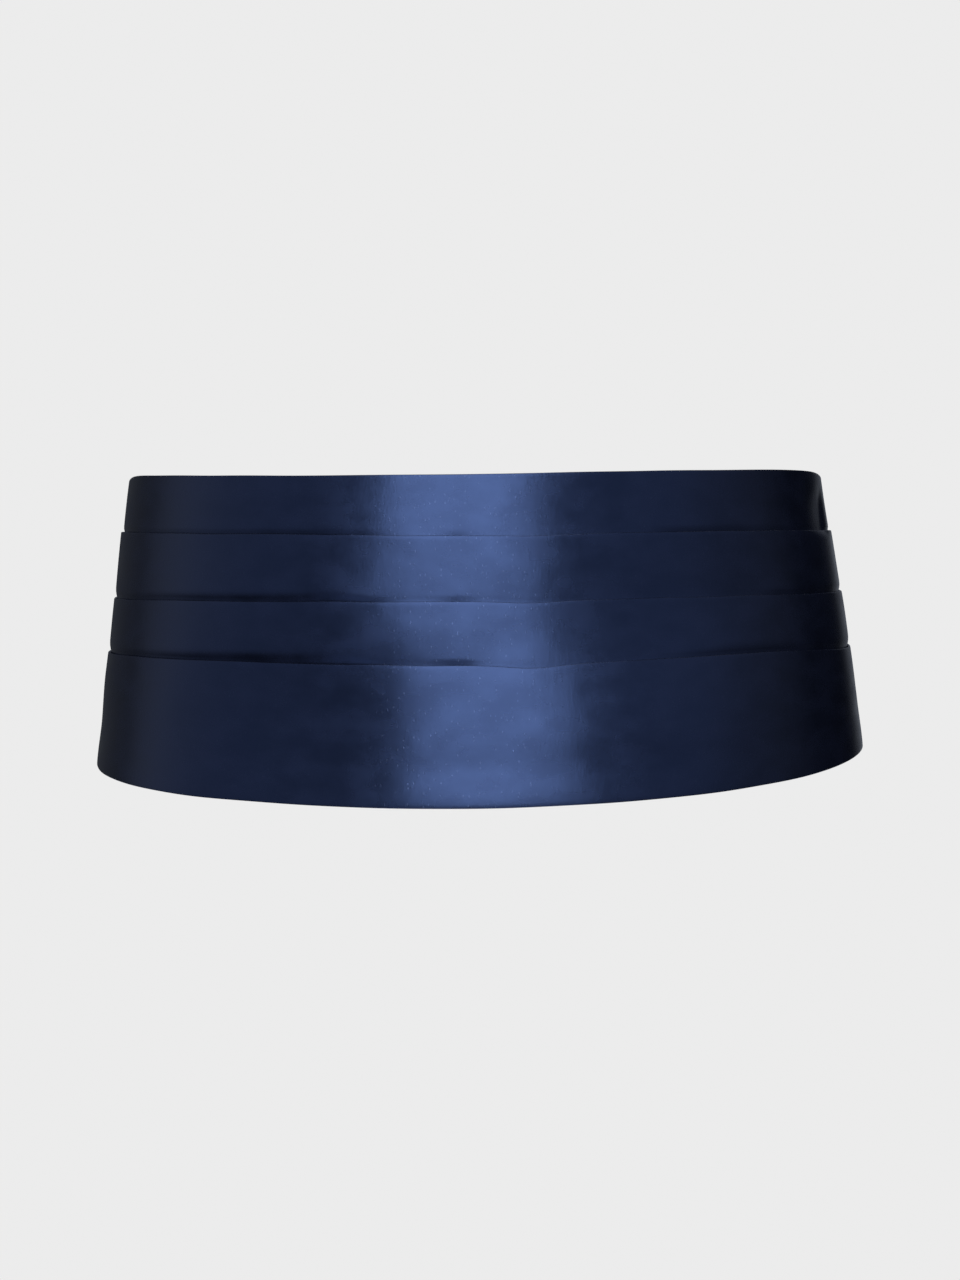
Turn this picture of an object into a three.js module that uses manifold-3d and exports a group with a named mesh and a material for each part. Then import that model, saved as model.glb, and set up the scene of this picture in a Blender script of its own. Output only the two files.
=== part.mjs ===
// A pleated satin cummerbund in the rounded form that it has when it is worn.
// One length of satin, laid in three pleats that open upwards, goes round the front and the
// sides. Two straps go on round the back and meet in a hook and an eye, and a slide on one
// of them takes up its length.
//
// Millimetres. +Z up, the front faces -Y, +X is on the right seen from the front. The origin
// is in the middle of the waist, at the height of the straps' middle line.
//
// Angles are in degrees round the waist: 0 at the middle of the front, 90 at the +X side, 180
// at the middle of the back. A depth is measured down from the middle of the upper edge, and
// an offset outwards from the form of the waist.

import * as THREE from "three";
import { mergeVertices } from "three/addons/utils/BufferGeometryUtils.js";
import Module from "manifold-3d";

const wasm = await Module();
wasm.setup();

// The waist that the cloth goes round.
const WAIST_HALF_WIDTH = 143.7; // at the upper edge
const FRONT_HALF_DEPTH = 103.4;
const BACK_HALF_DEPTH = 98.5;
const SIDE_FLARE = 0.152; // mm wider on each side for each mm down, at the upper edge
const SIDE_FLARE_EASING = 0.00015;
const FRONT_FLARE_SHARE = 0.5; // of the widening at the sides
const BACK_FLARE_SHARE = 0.3;
const TOP_SHIFT = -2; // sideways, of the upper edge, because the cummerbund sits a little askew
const TOP_SHIFT_FADE = 50; // mm down over which that shift dies out

// Towards the hem the waist stands out on the right of the front, and lies in on its left.
const SWELLS = [
  { angle: 32, spread: 24, rise: 4.5 },
  { angle: -28, spread: 18, rise: -3.5 },
];
const SWELL_DEPTH = { from: 30, to: 100 };

// The satin panel.
const CLOTH = 1.0;
const LAYER_GAP = 0.15; // between two layers of a pleat
const PANEL_END = 138; // degrees each way from the middle of the front
const PANEL_STEPS = 46;
const TURN_IN = 12; // cloth turned in behind the upper edge and the hem
const UNDERLAP = 23; // how far each pleat's cloth goes down behind it, at the middle of the front
const FOLD_SEGMENTS = 4; // in the half turn of a fold
const FOLD_RADIUS = CLOTH + LAYER_GAP / 2;
const PLEAT_STEP = 2 * (CLOTH + LAYER_GAP); // two layers more under each fold

// The angles at which each edge's depth is given, from the panel's -X end to its +X end.
const TRACK_ANGLES = [-PANEL_END, -90, -45, 0, 45, 90, PANEL_END];

// The edges from the top down, one depth for each of those angles. sag is how far the edge
// drops in the slack place a little right of the middle.
const EDGES = [
  { name: "upper edge", depths: [4.5, 1.3, 1.2, 0.4, -1.3, -0.2, 3.2], sag: 0 },
  { name: "pleat 1", depths: [26, 25.3, 24.8, 25, 23.6, 24.6, 25], sag: 0.4 },
  { name: "pleat 2", depths: [47.5, 52.9, 52.2, 51.5, 50, 49.9, 45.5], sag: 0.7 },
  { name: "pleat 3", depths: [69, 75.6, 76.4, 77.2, 73.4, 73.2, 67], sag: 1.2 },
  { name: "hem", depths: [108, 122.8, 132, 134.4, 126.8, 115, 104], sag: 0 },
];
const SLACK = { angle: 8, spread: 5 };

// The face of each tier: its offset just under its upper fold, and where its neck begins, at
// the depth of the underlap. From there it dips behind the next fold.
const TIERS = [
  { name: "tier 1", crown: 2.5, neck: 1.8 },
  { name: "tier 2", crown: 3.3, neck: 2.8 },
  { name: "tier 3", crown: 3.3, neck: 2.6 },
  { name: "tier 4", crown: 3.4, neck: 3.1 },
];
const HEM_OFFSET = 2.9;

// The hollow at the right end of the first tier, where the cloth turns away from the front.
const SIDE_HOLLOW = { angle: 80, spread: 6, depth: 0.9 };

// The straps and their metal parts. s is a distance from the middle of the back, towards +X.
const STRAP = { height: 38, cloth: 1.1 };
const STRAP_DEPTH = 54; // of the straps' middle line, and so of the origin
const STRAP_LEVEL = -1.85; // the offset of a strap's middle where it lies on the waist
const METAL = 1.6;
const CLEARANCE = 0.3;
const BAR_CLEARANCE = 0.4; // between a bar and the strap that turns round it
const BAR = 3;
const FRAME_OPENING = STRAP.height + 1.2;
const HOOK_FRAME = { strapBar: -16, frontBar: -7 };
const EYE_FRAME = { frontBar: 0, strapBar: 9.5 };
const SLIDE_BARS = { outer: -49.5, middle: -40, inner: -30.5 };
const BAR_OFFSET = STRAP_LEVEL + STRAP.cloth / 2 + BAR_CLEARANCE + METAL / 2;
const OUTER_LEVEL = 2 * BAR_OFFSET - STRAP_LEVEL; // of a strap that lies outside a bar
const TONGUE = { height: 15, metal: 1.2, tipRise: 1.4 };

const SATIN = new THREE.MeshStandardMaterial({ color: 0x1d2748, roughness: 0.38, metalness: 0 });
const STRAP_SATIN = new THREE.MeshStandardMaterial({ color: 0x181f38, roughness: 0.5, metalness: 0 });
const STEEL = new THREE.MeshStandardMaterial({ color: 0xb9bbc0, roughness: 0.25, metalness: 1 });

// ---------------------------------------------------------------- the waist

/** A point of the waist's form at an angle and a depth, moved out by an offset. */
function place(angle, depth, offset) {
  const turn = THREE.MathUtils.degToRad(angle);
  const widening = SIDE_FLARE * depth - SIDE_FLARE_EASING * depth * depth;
  const isFront = Math.cos(turn) > 0;
  const halfWidth = WAIST_HALF_WIDTH + widening;
  const halfDepth = isFront
    ? FRONT_HALF_DEPTH + FRONT_FLARE_SHARE * widening
    : BACK_HALF_DEPTH + BACK_FLARE_SHARE * widening;
  const out = new THREE.Vector2(Math.sin(turn) / halfWidth, -Math.cos(turn) / halfDepth);
  out.normalize();
  const shift = TOP_SHIFT * Math.exp(-((Math.max(depth, 0) / TOP_SHIFT_FADE) ** 2));
  const rise = SWELLS.reduce((sum, swell) => sum + swell.rise * bump(swell, angle), 0);
  const level = offset + rise * THREE.MathUtils.smoothstep(depth, SWELL_DEPTH.from, SWELL_DEPTH.to);
  return new THREE.Vector3(
    shift + halfWidth * Math.sin(turn) + level * out.x,
    -halfDepth * Math.cos(turn) + level * out.y,
    STRAP_DEPTH - depth,
  );
}

/** The same for a part of the back, from its distance s, offset and height above the origin. */
function placeBack(s, offset, height) {
  const angle = 180 - THREE.MathUtils.radToDeg(s / WAIST_HALF_WIDTH);
  return place(angle, STRAP_DEPTH - height, offset);
}

/** A bump of height 1 at the middle of a row with an angle and a spread. */
function bump(row, angle) {
  return Math.exp(-(((angle - row.angle) / row.spread) ** 2));
}

/** The depth of an edge at an angle, on a smooth curve through the depths that its row gives. */
function edgeDepth(edge, angle) {
  const { depths } = edge;
  const last = depths.length - 1;
  const slope = (i) => {
    const [from, to] = [Math.max(i - 1, 0), Math.min(i + 1, last)];
    return (depths[to] - depths[from]) / (TRACK_ANGLES[to] - TRACK_ANGLES[from]);
  };
  let i = 0;
  while (i < last - 1 && angle > TRACK_ANGLES[i + 1]) i += 1;
  const span = TRACK_ANGLES[i + 1] - TRACK_ANGLES[i];
  const t = (angle - TRACK_ANGLES[i]) / span;
  const rise = depths[i + 1] - depths[i];
  const curve = t * t * (3 - 2 * t) * rise;
  const lead = t * (1 - t) * span * ((1 - t) * slope(i) - t * slope(i + 1));
  return depths[i] + curve + lead + edge.sag * bump(SLACK, angle);
}

// ---------------------------------------------------------------- solids

/** Points of a half turn about (depth, offset), without its two ends. */
function halfTurn(depth, offset, radius, direction, up) {
  const points = [];
  for (let i = 1; i < FOLD_SEGMENTS; i += 1) {
    const turn = (Math.PI * i) / FOLD_SEGMENTS;
    points.push([depth - up * radius * Math.sin(turn), offset - direction * radius * Math.cos(turn)]);
  }
  return points;
}

/** The hidden length of a pleat at an angle, in proportion to the height of its tier. */
function underlapAt(tier, depths) {
  const frontHeight = edgeDepth(EDGES[tier + 1], 0) - edgeDepth(EDGES[tier], 0);
  return (UNDERLAP * (depths[tier + 1] - depths[tier])) / frontHeight;
}

/** The panel's section at an angle: a closed ring of [depth, offset], the same at each angle. */
function panelSection(angle) {
  const depths = EDGES.map((edge) => edgeDepth(edge, angle));
  const hollow = SIDE_HOLLOW.depth * bump(SIDE_HOLLOW, angle);
  const [top, hem] = [depths[0], depths[4]];
  const crown = TIERS[0].crown - hollow;
  const neck = TIERS[0].neck - hollow;

  // rightSide and wrongSide are the cloth's two faces, from the upper turn-in to the hem's.
  const rightSide = [
    [top + TURN_IN, crown - 2 * FOLD_RADIUS],
    [top + FOLD_RADIUS, crown - 2 * FOLD_RADIUS],
    ...halfTurn(top + FOLD_RADIUS, crown - FOLD_RADIUS, FOLD_RADIUS, 1, 1),
    [top + FOLD_RADIUS, crown],
    [top + underlapAt(0, depths), neck],
  ];
  const wrongSide = [
    [top + TURN_IN, crown - CLOTH - LAYER_GAP],
    [top + CLOTH, crown - CLOTH - LAYER_GAP],
    [top + CLOTH, crown - CLOTH],
    [top + underlapAt(0, depths), neck - CLOTH],
  ];
  for (const tier of [1, 2, 3]) {
    addPleat(rightSide, wrongSide, TIERS[tier], depths[tier], underlapAt(tier, depths));
  }
  rightSide.push(
    [hem - FOLD_RADIUS, HEM_OFFSET],
    ...halfTurn(hem - FOLD_RADIUS, HEM_OFFSET - FOLD_RADIUS, FOLD_RADIUS, -1, -1),
    [hem - FOLD_RADIUS, HEM_OFFSET - 2 * FOLD_RADIUS],
    [hem - TURN_IN, HEM_OFFSET - 2 * FOLD_RADIUS],
  );
  wrongSide.push(
    [hem - CLOTH, HEM_OFFSET - CLOTH],
    [hem - CLOTH, HEM_OFFSET - CLOTH - LAYER_GAP],
    [hem - TURN_IN, HEM_OFFSET - CLOTH - LAYER_GAP],
  );
  return [...rightSide, ...wrongSide.reverse()];
}

/** Adds one pleat to the two faces: down behind it, back up inside it and over its fold. */
function addPleat(rightSide, wrongSide, tier, fold, underlap) {
  const low = fold + underlap;
  const under = { fold: tier.crown - PLEAT_STEP, low: tier.neck - PLEAT_STEP };
  rightSide.push(
    [fold, under.fold],
    [low - CLOTH, under.low],
    [low - CLOTH, under.low + LAYER_GAP],
    [fold + FOLD_RADIUS, under.fold + LAYER_GAP],
    ...halfTurn(fold + FOLD_RADIUS, tier.crown - FOLD_RADIUS, FOLD_RADIUS, 1, 1),
    [fold + FOLD_RADIUS, tier.crown],
    [low, tier.neck],
  );
  wrongSide.push(
    [fold, under.fold - CLOTH],
    [low - FOLD_RADIUS, under.low - CLOTH],
    ...halfTurn(low - FOLD_RADIUS, under.low - CLOTH + FOLD_RADIUS, FOLD_RADIUS, 1, -1),
    [low - FOLD_RADIUS, under.low + LAYER_GAP + CLOTH],
    [fold + CLOTH, under.fold + LAYER_GAP + CLOTH],
    [fold + CLOTH, tier.crown - CLOTH],
    [low, tier.neck - CLOTH],
  );
}

/** A closed solid through rings of 3-D points, its ends filled by triangles of point numbers. */
function loft(rings, ends) {
  const count = rings[0].length;
  const positions = rings.flat().flatMap((point) => [point.x, point.y, point.z]);
  const faces = [];
  for (let ring = 0; ring + 1 < rings.length; ring += 1) {
    for (let i = 0; i < count; i += 1) {
      const a = ring * count + i;
      const b = ring * count + ((i + 1) % count);
      faces.push(a, b, b + count, a, b + count, a + count);
    }
  }
  const last = (rings.length - 1) * count;
  for (const [a, b, c] of ends) faces.push(a, c, b, last + a, last + b, last + c);
  return facingOut(solidFrom(positions, faces));
}

/** Triangles that fill a flat outline, going round as the outline does. */
function filled(outline) {
  const points = outline.map(([u, v]) => new THREE.Vector2(u, v));
  const triangles = THREE.ShapeUtils.triangulateShape(points, []);
  return THREE.ShapeUtils.area(points) > 0 ? triangles : triangles.map(([a, b, c]) => [a, c, b]);
}

/** Triangles that fill the outline of a strip, whose two long sides have a point for each other. */
function filledStrip(outline) {
  const triangles = [];
  for (let i = 0; i + 1 < outline.length / 2; i += 1) {
    const opposite = outline.length - 1 - i;
    triangles.push([i, i + 1, opposite - 1], [i, opposite - 1, opposite]);
  }
  return triangles;
}

/** An indexed geometry from flat lists of coordinates and vertex numbers. */
function solidFrom(positions, faces) {
  const geometry = new THREE.BufferGeometry();
  geometry.setAttribute("position", new THREE.Float32BufferAttribute(positions, 3));
  geometry.setIndex(faces);
  return geometry;
}

/** The same solid with its faces turned over where they point inwards. */
function facingOut(geometry) {
  const at = geometry.getAttribute("position");
  const index = geometry.getIndex();
  const [a, b, c] = [new THREE.Vector3(), new THREE.Vector3(), new THREE.Vector3()];
  let volume = 0;
  for (let i = 0; i < index.count; i += 3) {
    a.fromBufferAttribute(at, index.getX(i));
    b.fromBufferAttribute(at, index.getX(i + 1));
    c.fromBufferAttribute(at, index.getX(i + 2));
    volume += a.dot(b.cross(c));
  }
  if (volume < 0) geometry.setIndex(Array.from(index.array).reverse());
  geometry.computeVertexNormals();
  return geometry;
}

/** A geometry with only shared points, which is what a boolean needs. */
function bare(geometry) {
  const copy = geometry.clone();
  copy.deleteAttribute("normal");
  copy.deleteAttribute("uv");
  return mergeVertices(copy, 1e-4);
}

/** Two closed solids added together, or the second one cut out of the first. */
function combined(first, second, operation) {
  const [a, b] = [first, second].map((geometry) => {
    const solid = facingOut(bare(geometry));
    return new wasm.Manifold(new wasm.Mesh({
      numProp: 3,
      vertProperties: new Float32Array(solid.getAttribute("position").array),
      triVerts: new Uint32Array(solid.getIndex().array),
    }));
  });
  const whole = a[operation](b).getMesh();
  return solidFrom(Array.from(whole.vertProperties), Array.from(whole.triVerts));
}

// ---------------------------------------------------------------- the pieces

/** The satin panel: its section, taken round the front and the sides. */
function frontPanel() {
  const rings = [];
  for (let step = 0; step <= PANEL_STEPS; step += 1) {
    const angle = PANEL_END * ((2 * step) / PANEL_STEPS - 1);
    rings.push(panelSection(angle).map(([depth, offset]) => place(angle, depth, offset)));
  }
  return loft(rings, filled(panelSection(-PANEL_END)));
}

/** A strap that stands on edge along a path of [s, offset] round the back. */
function strap(path) {
  const half = STRAP.cloth / 2;
  const left = [];
  const right = [];
  path.forEach(([s, offset], i) => {
    const before = path[Math.max(i - 1, 0)];
    const after = path[Math.min(i + 1, path.length - 1)];
    const along = new THREE.Vector2(after[0] - before[0], after[1] - before[1]).normalize();
    left.push([s - half * along.y, offset + half * along.x]);
    right.push([s + half * along.y, offset - half * along.x]);
  });
  const outline = [...left, ...right.reverse()];
  const rings = [-STRAP.height / 2, STRAP.height / 2].map((height) =>
    outline.map(([s, offset]) => placeBack(s, offset, height)),
  );
  return loft(rings, filledStrip(outline));
}

/** Path points of a strap's half turn round a bar, from outside it to inside it. */
function roundBar(s, side) {
  const radius = OUTER_LEVEL - BAR_OFFSET;
  const reach = (BAR - METAL) / 2 + CLEARANCE;
  return [90, 54, 18, -18, -54, -90].map((degrees) => {
    const turn = THREE.MathUtils.degToRad(degrees);
    return [s + side * (reach + radius * Math.cos(turn)), BAR_OFFSET + radius * Math.sin(turn)];
  });
}

/** A flat metal frame with bars across it, open between them for a strap that stands on edge. */
function frame(bars) {
  const [low, high] = [Math.min(...bars) - BAR / 2, Math.max(...bars) + BAR / 2];
  const plate = new THREE.ExtrudeGeometry(plateOutline(low, high), { depth: METAL, bevelEnabled: false });
  const windows = bars.slice(1).map((bar, i) => {
    const window = new THREE.BoxGeometry(bar - bars[i] - BAR, FRAME_OPENING, 3 * METAL);
    return window.translate((bar + bars[i]) / 2, 0, METAL / 2);
  });
  return windows.reduce((cut, window) => combined(cut, window, "subtract"), plate);
}

/** A frame's outline from low to high in s, its corners cut off. */
function plateOutline(low, high) {
  const tall = FRAME_OPENING / 2 + BAR;
  const corners = [
    [low + 1, -tall], [high - 1, -tall], [high, -tall + 1], [high, tall - 1],
    [high - 1, tall], [low + 1, tall], [low, tall - 1], [low, -tall + 1],
  ];
  return new THREE.Shape(corners.map(([s, height]) => new THREE.Vector2(s, height)));
}

/** Lays a flat piece of [s, height, thickness] on the back, with its middle at the bars. */
function layOnBack(geometry) {
  const laid = bare(geometry);
  const at = laid.getAttribute("position");
  for (let i = 0; i < at.count; i += 1) {
    const point = placeBack(at.getX(i), BAR_OFFSET - METAL / 2 + at.getZ(i), at.getY(i));
    at.setXYZ(i, point.x, point.y, point.z);
  }
  return facingOut(laid);
}

/** The hook's tongue: under the eye's front bar and up again beyond it. */
function tongue() {
  const half = TONGUE.metal / 2;
  const under = -CLEARANCE - half;
  const beyond = EYE_FRAME.frontBar + BAR / 2 + CLEARANCE + half;
  const line = [
    [HOOK_FRAME.frontBar, METAL / 2],
    [HOOK_FRAME.frontBar + BAR, METAL / 2],
    [EYE_FRAME.frontBar - BAR / 2 - 1, under],
    [beyond - half, under],
    [beyond, under + half],
    [beyond, METAL + TONGUE.tipRise],
  ];
  const upper = [];
  const lower = [];
  line.forEach((point, i) => {
    const before = line[Math.max(i - 1, 0)];
    const after = line[Math.min(i + 1, line.length - 1)];
    const along = new THREE.Vector2(after[0] - before[0], after[1] - before[1]).normalize();
    upper.push(new THREE.Vector2(point[0] - half * along.y, point[1] + half * along.x));
    lower.push(new THREE.Vector2(point[0] + half * along.y, point[1] - half * along.x));
  });
  const profile = new THREE.Shape([...upper, ...lower.reverse()]);
  const solid = new THREE.ExtrudeGeometry(profile, { depth: TONGUE.height, bevelEnabled: false });
  solid.translate(0, 0, -TONGUE.height / 2);
  return solid.rotateX(-Math.PI / 2).scale(1, 1, -1);
}

/** The path of the -X strap: through the slide, round the hook's bar and back to the slide. */
function adjustingPath() {
  const { outer, middle, inner } = SLIDE_BARS;
  const layer = STRAP.cloth + CLEARANCE;
  const over = OUTER_LEVEL + layer;
  const under = STRAP_LEVEL - layer;
  return [
    ...[-120, -108, -96, -84, -72, -60].map((s) => [s, STRAP_LEVEL]),
    [outer, STRAP_LEVEL], [outer + 3, STRAP_LEVEL + 0.6],
    [middle - 4, over - 0.5], [middle - 2, over], [middle + 2, over], [middle + 4, over - 0.5],
    [inner - 3, STRAP_LEVEL + 0.6], [inner, STRAP_LEVEL], [inner + 3, STRAP_LEVEL + 0.4],
    [HOOK_FRAME.strapBar - 4, OUTER_LEVEL - 0.3],
    ...roundBar(HOOK_FRAME.strapBar, 1),
    [HOOK_FRAME.strapBar - 4, STRAP_LEVEL - 0.2], [inner + 3, under], [inner - 4, under],
    ...roundBar(middle, -1).reverse(),
    [middle + 1, OUTER_LEVEL],
  ];
}

/** The path of the +X strap: out of the panel, round the eye's bar and a short way back. */
function fixedPath() {
  const { strapBar } = EYE_FRAME;
  return [
    ...[120, 108, 96, 84, 72, 60, 48].map((s) => [s, STRAP_LEVEL]),
    [38, STRAP_LEVEL + 0.8], [28, OUTER_LEVEL - 0.5], [20, OUTER_LEVEL],
    ...roundBar(strapBar, -1),
    [20, STRAP_LEVEL], [28, STRAP_LEVEL - 0.7],
  ];
}

/** One named piece of the cummerbund. */
function piece(name, geometry, material) {
  const mesh = new THREE.Mesh(geometry, material);
  mesh.name = name;
  return mesh;
}

const cummerbund = new THREE.Group();
cummerbund.add(
  piece("front_panel", frontPanel(), SATIN),
  piece("strap_left", strap(adjustingPath()), STRAP_SATIN),
  piece("strap_right", strap(fixedPath()), STRAP_SATIN),
  piece("slide", layOnBack(frame(Object.values(SLIDE_BARS))), STEEL),
  piece("hook", layOnBack(combined(frame(Object.values(HOOK_FRAME)), tongue(), "add")), STEEL),
  piece("eye", layOnBack(frame(Object.values(EYE_FRAME))), STEEL),
);

export default cummerbund;
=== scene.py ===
"""A pleated satin cummerbund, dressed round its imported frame.

One length of satin, laid in three pleats that open upwards, goes round the front and the
sides of the waist. Two straps go on round the back and meet in a hook and an eye, and a slide
takes up the length of one of them.

Sizes are in millimetres, angles in degrees round the waist (0 at the middle of the front, 90
at the +X side, 180 at the middle of the back), depths are measured down from the middle of
the upper edge, and offsets outwards from the form of the waist. The finishes and the studio
are in metres, as their nodes and lights are.
"""

from __future__ import annotations

import logging
import math
from dataclasses import dataclass, field
from enum import Enum

import bmesh
import bpy
import numpy as np
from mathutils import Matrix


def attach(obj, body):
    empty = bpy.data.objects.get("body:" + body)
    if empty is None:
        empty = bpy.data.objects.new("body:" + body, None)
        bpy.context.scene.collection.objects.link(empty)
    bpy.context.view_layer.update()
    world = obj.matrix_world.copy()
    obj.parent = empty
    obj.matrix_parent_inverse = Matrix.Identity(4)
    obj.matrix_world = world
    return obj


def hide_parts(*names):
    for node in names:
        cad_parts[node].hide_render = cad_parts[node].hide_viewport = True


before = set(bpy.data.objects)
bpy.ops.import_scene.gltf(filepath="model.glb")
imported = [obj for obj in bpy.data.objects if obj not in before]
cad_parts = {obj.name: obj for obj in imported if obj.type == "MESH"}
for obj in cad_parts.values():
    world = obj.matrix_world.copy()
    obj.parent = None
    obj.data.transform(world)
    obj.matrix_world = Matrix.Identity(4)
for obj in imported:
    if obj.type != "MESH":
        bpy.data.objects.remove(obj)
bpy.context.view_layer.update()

LOG = logging.getLogger("cummerbund")
MM = 0.001
BODY = "root"
CLOTH_CORNER = 58.0  # degrees between two faces of cloth, past which the edge is sharp
WAVE_PERIOD = 0.314  # of a wave texture's bands at scale 1
MOST_NOISE = (0.3, 0.7)  # the range that nearly all of a noise lies in

Array = np.ndarray
Pair = tuple[float, float]
Colour = tuple[float, float, float]
Triple = tuple[float, float, float]
Faces = list[tuple[int, ...]]
Socket = bpy.types.NodeSocket


class Hold(Enum):
    """How a sheet of cloth is held."""

    FOLDED = "folded"
    STRETCHED = "stretched"


class Slot(Enum):
    """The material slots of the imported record."""

    SATIN = "satin"
    STRAP = "strap_satin"
    STEEL = "steel"


class Side(Enum):
    """Which side of the back a strap comes from."""

    LEFT = -1
    RIGHT = 1


# ---------------------------------------------------------------- curves and noise


def bump(value: Array, middle: float, spread: float) -> Array:
    """A smooth bump of height 1.

    Args:
        value: Where it is read.
        middle: The place of its top.
        spread: The distance at which it has fallen to a third.

    Returns:
        Its height at each value.
    """
    return np.exp(-(((value - middle) / spread) ** 2))


def ease(value: Array, start: float, end: float) -> Array:
    """A smooth step from 0 at start to 1 at end.

    Args:
        value: Where it is read.
        start: The value up to which it is 0.
        end: The value from which it is 1.

    Returns:
        Its height at each value.
    """
    t = np.clip((value - start) / (end - start), 0.0, 1.0)
    return t * t * (3.0 - 2.0 * t)


def path_lengths(points: Array) -> Array:
    """How far along a path each of its points lies.

    Args:
        points: The path's points, one to a row.

    Returns:
        A distance for each of them, 0 for the first.
    """
    steps = np.linalg.norm(np.diff(points, axis=0), axis=1)
    return np.concatenate([[0.0], np.cumsum(steps)])


@dataclass(frozen=True)
class Swell:
    """A smooth bump at one place round the waist."""

    angle: float
    spread: float
    height: float

    def at(self, angle: Array) -> Array:
        """Its height at each angle."""
        return self.height * bump(angle, self.angle, self.spread)


@dataclass(frozen=True)
class Wander:
    """A small uneven wave along a line, the same on each run."""

    size: float
    longest: float
    seed: int
    waves: int = 5
    shortening: float = 0.83
    weakening: float = 0.6
    crest: float = 1.6  # about how high the waves add up at most

    def at(self, value: Array) -> Array:
        """The wave's height.

        Args:
            value: Distances or angles along the line.

        Returns:
            A height for each of them, about size at most.
        """
        random = np.random.default_rng(self.seed)
        total = np.zeros_like(np.asarray(value, float))
        for wave in range(self.waves):
            period = self.longest / (1.0 + self.shortening * wave)
            phase = random.uniform(0.0, 2.0 * math.pi)
            share = random.uniform(0.5, 1.0) / (1.0 + self.weakening * wave)
            total += share * np.sin(2.0 * math.pi * value / period + phase)
        return self.size * total / self.crest


# ---------------------------------------------------------------- the form of the waist


@dataclass(frozen=True)
class Waist:
    """The form that the cloth goes round, wider towards the hem."""

    half_width: float = 143.7
    front_half_depth: float = 103.4
    back_half_depth: float = 98.5
    side_flare: float = 0.152  # how much wider each side is for each millimetre down
    flare_easing: float = 0.00015  # and how that eases towards the hem
    front_share: float = 0.5  # the front's share of the sides' widening
    back_share: float = 0.3
    top_shift: float = -2.0  # how far the upper edge leans over
    shift_fade: float = 50.0
    strap_depth: float = 54.0  # the depth of the straps' middle line, where z is 0
    swells: tuple[Swell, ...] = (Swell(32.0, 24.0, 4.5), Swell(-28.0, 18.0, -3.5))
    swell_from: float = 45.0  # the depths between which the swells come in
    swell_to: float = 110.0

    def place(self, angle: Array, depth: Array, offset: Array) -> Array:
        """Points of the form, moved out.

        Args:
            angle: Degrees round the waist.
            depth: Millimetres down.
            offset: Millimetres outwards.

        Returns:
            The points in metres, with x, y and z along the last axis.
        """
        turn = np.radians(angle)
        widening = self.side_flare * depth - self.flare_easing * depth**2
        share = np.where(np.cos(turn) > 0.0, self.front_share, self.back_share)
        base = np.where(np.cos(turn) > 0.0, self.front_half_depth, self.back_half_depth)
        wide = self.half_width + widening
        deep = base + share * widening
        out_x, out_y = np.sin(turn) / wide, -np.cos(turn) / deep
        length = np.hypot(out_x, out_y)
        shift = self.top_shift * np.exp(-((np.maximum(depth, 0.0) / self.shift_fade) ** 2))
        swelling = sum(swell.at(angle) for swell in self.swells)
        offset = offset + swelling * ease(depth, self.swell_from, self.swell_to)
        x = shift + wide * np.sin(turn) + offset * out_x / length
        y = -deep * np.cos(turn) + offset * out_y / length
        z = self.strap_depth - depth + np.zeros_like(x)
        return np.stack([x, y, z], axis=-1) * MM

    def place_back(self, along: Array, offset: Array, height: Array) -> Array:
        """Points of the back.

        Args:
            along: Millimetres from the middle of the back, towards +X.
            offset: Millimetres outwards.
            height: Millimetres above the straps' middle line.

        Returns:
            The points in metres.
        """
        angle = 180.0 - np.degrees(along / self.half_width)
        return self.place(angle, self.strap_depth - height, offset)


# ---------------------------------------------------------------- shader nodes


@dataclass(frozen=True)
class Grain:
    """An uneven grain over a finish, for its colour, its gloss or its relief."""

    scale: Triple  # waves for each metre, each way
    detail: float  # how many finer layers it has
    height: float = 0.0  # in metres
    finer: float = 0.5  # how strong the finer layers are


@dataclass(frozen=True)
class Bands:
    """Even bands on a finish, as ribs and twill lines are."""

    way: str  # the axis that they follow each other along
    pitch: float  # metres from band to band
    stray: float  # how far they stray
    detail: float  # how many finer layers the straying has
    height: float  # in metres


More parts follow.
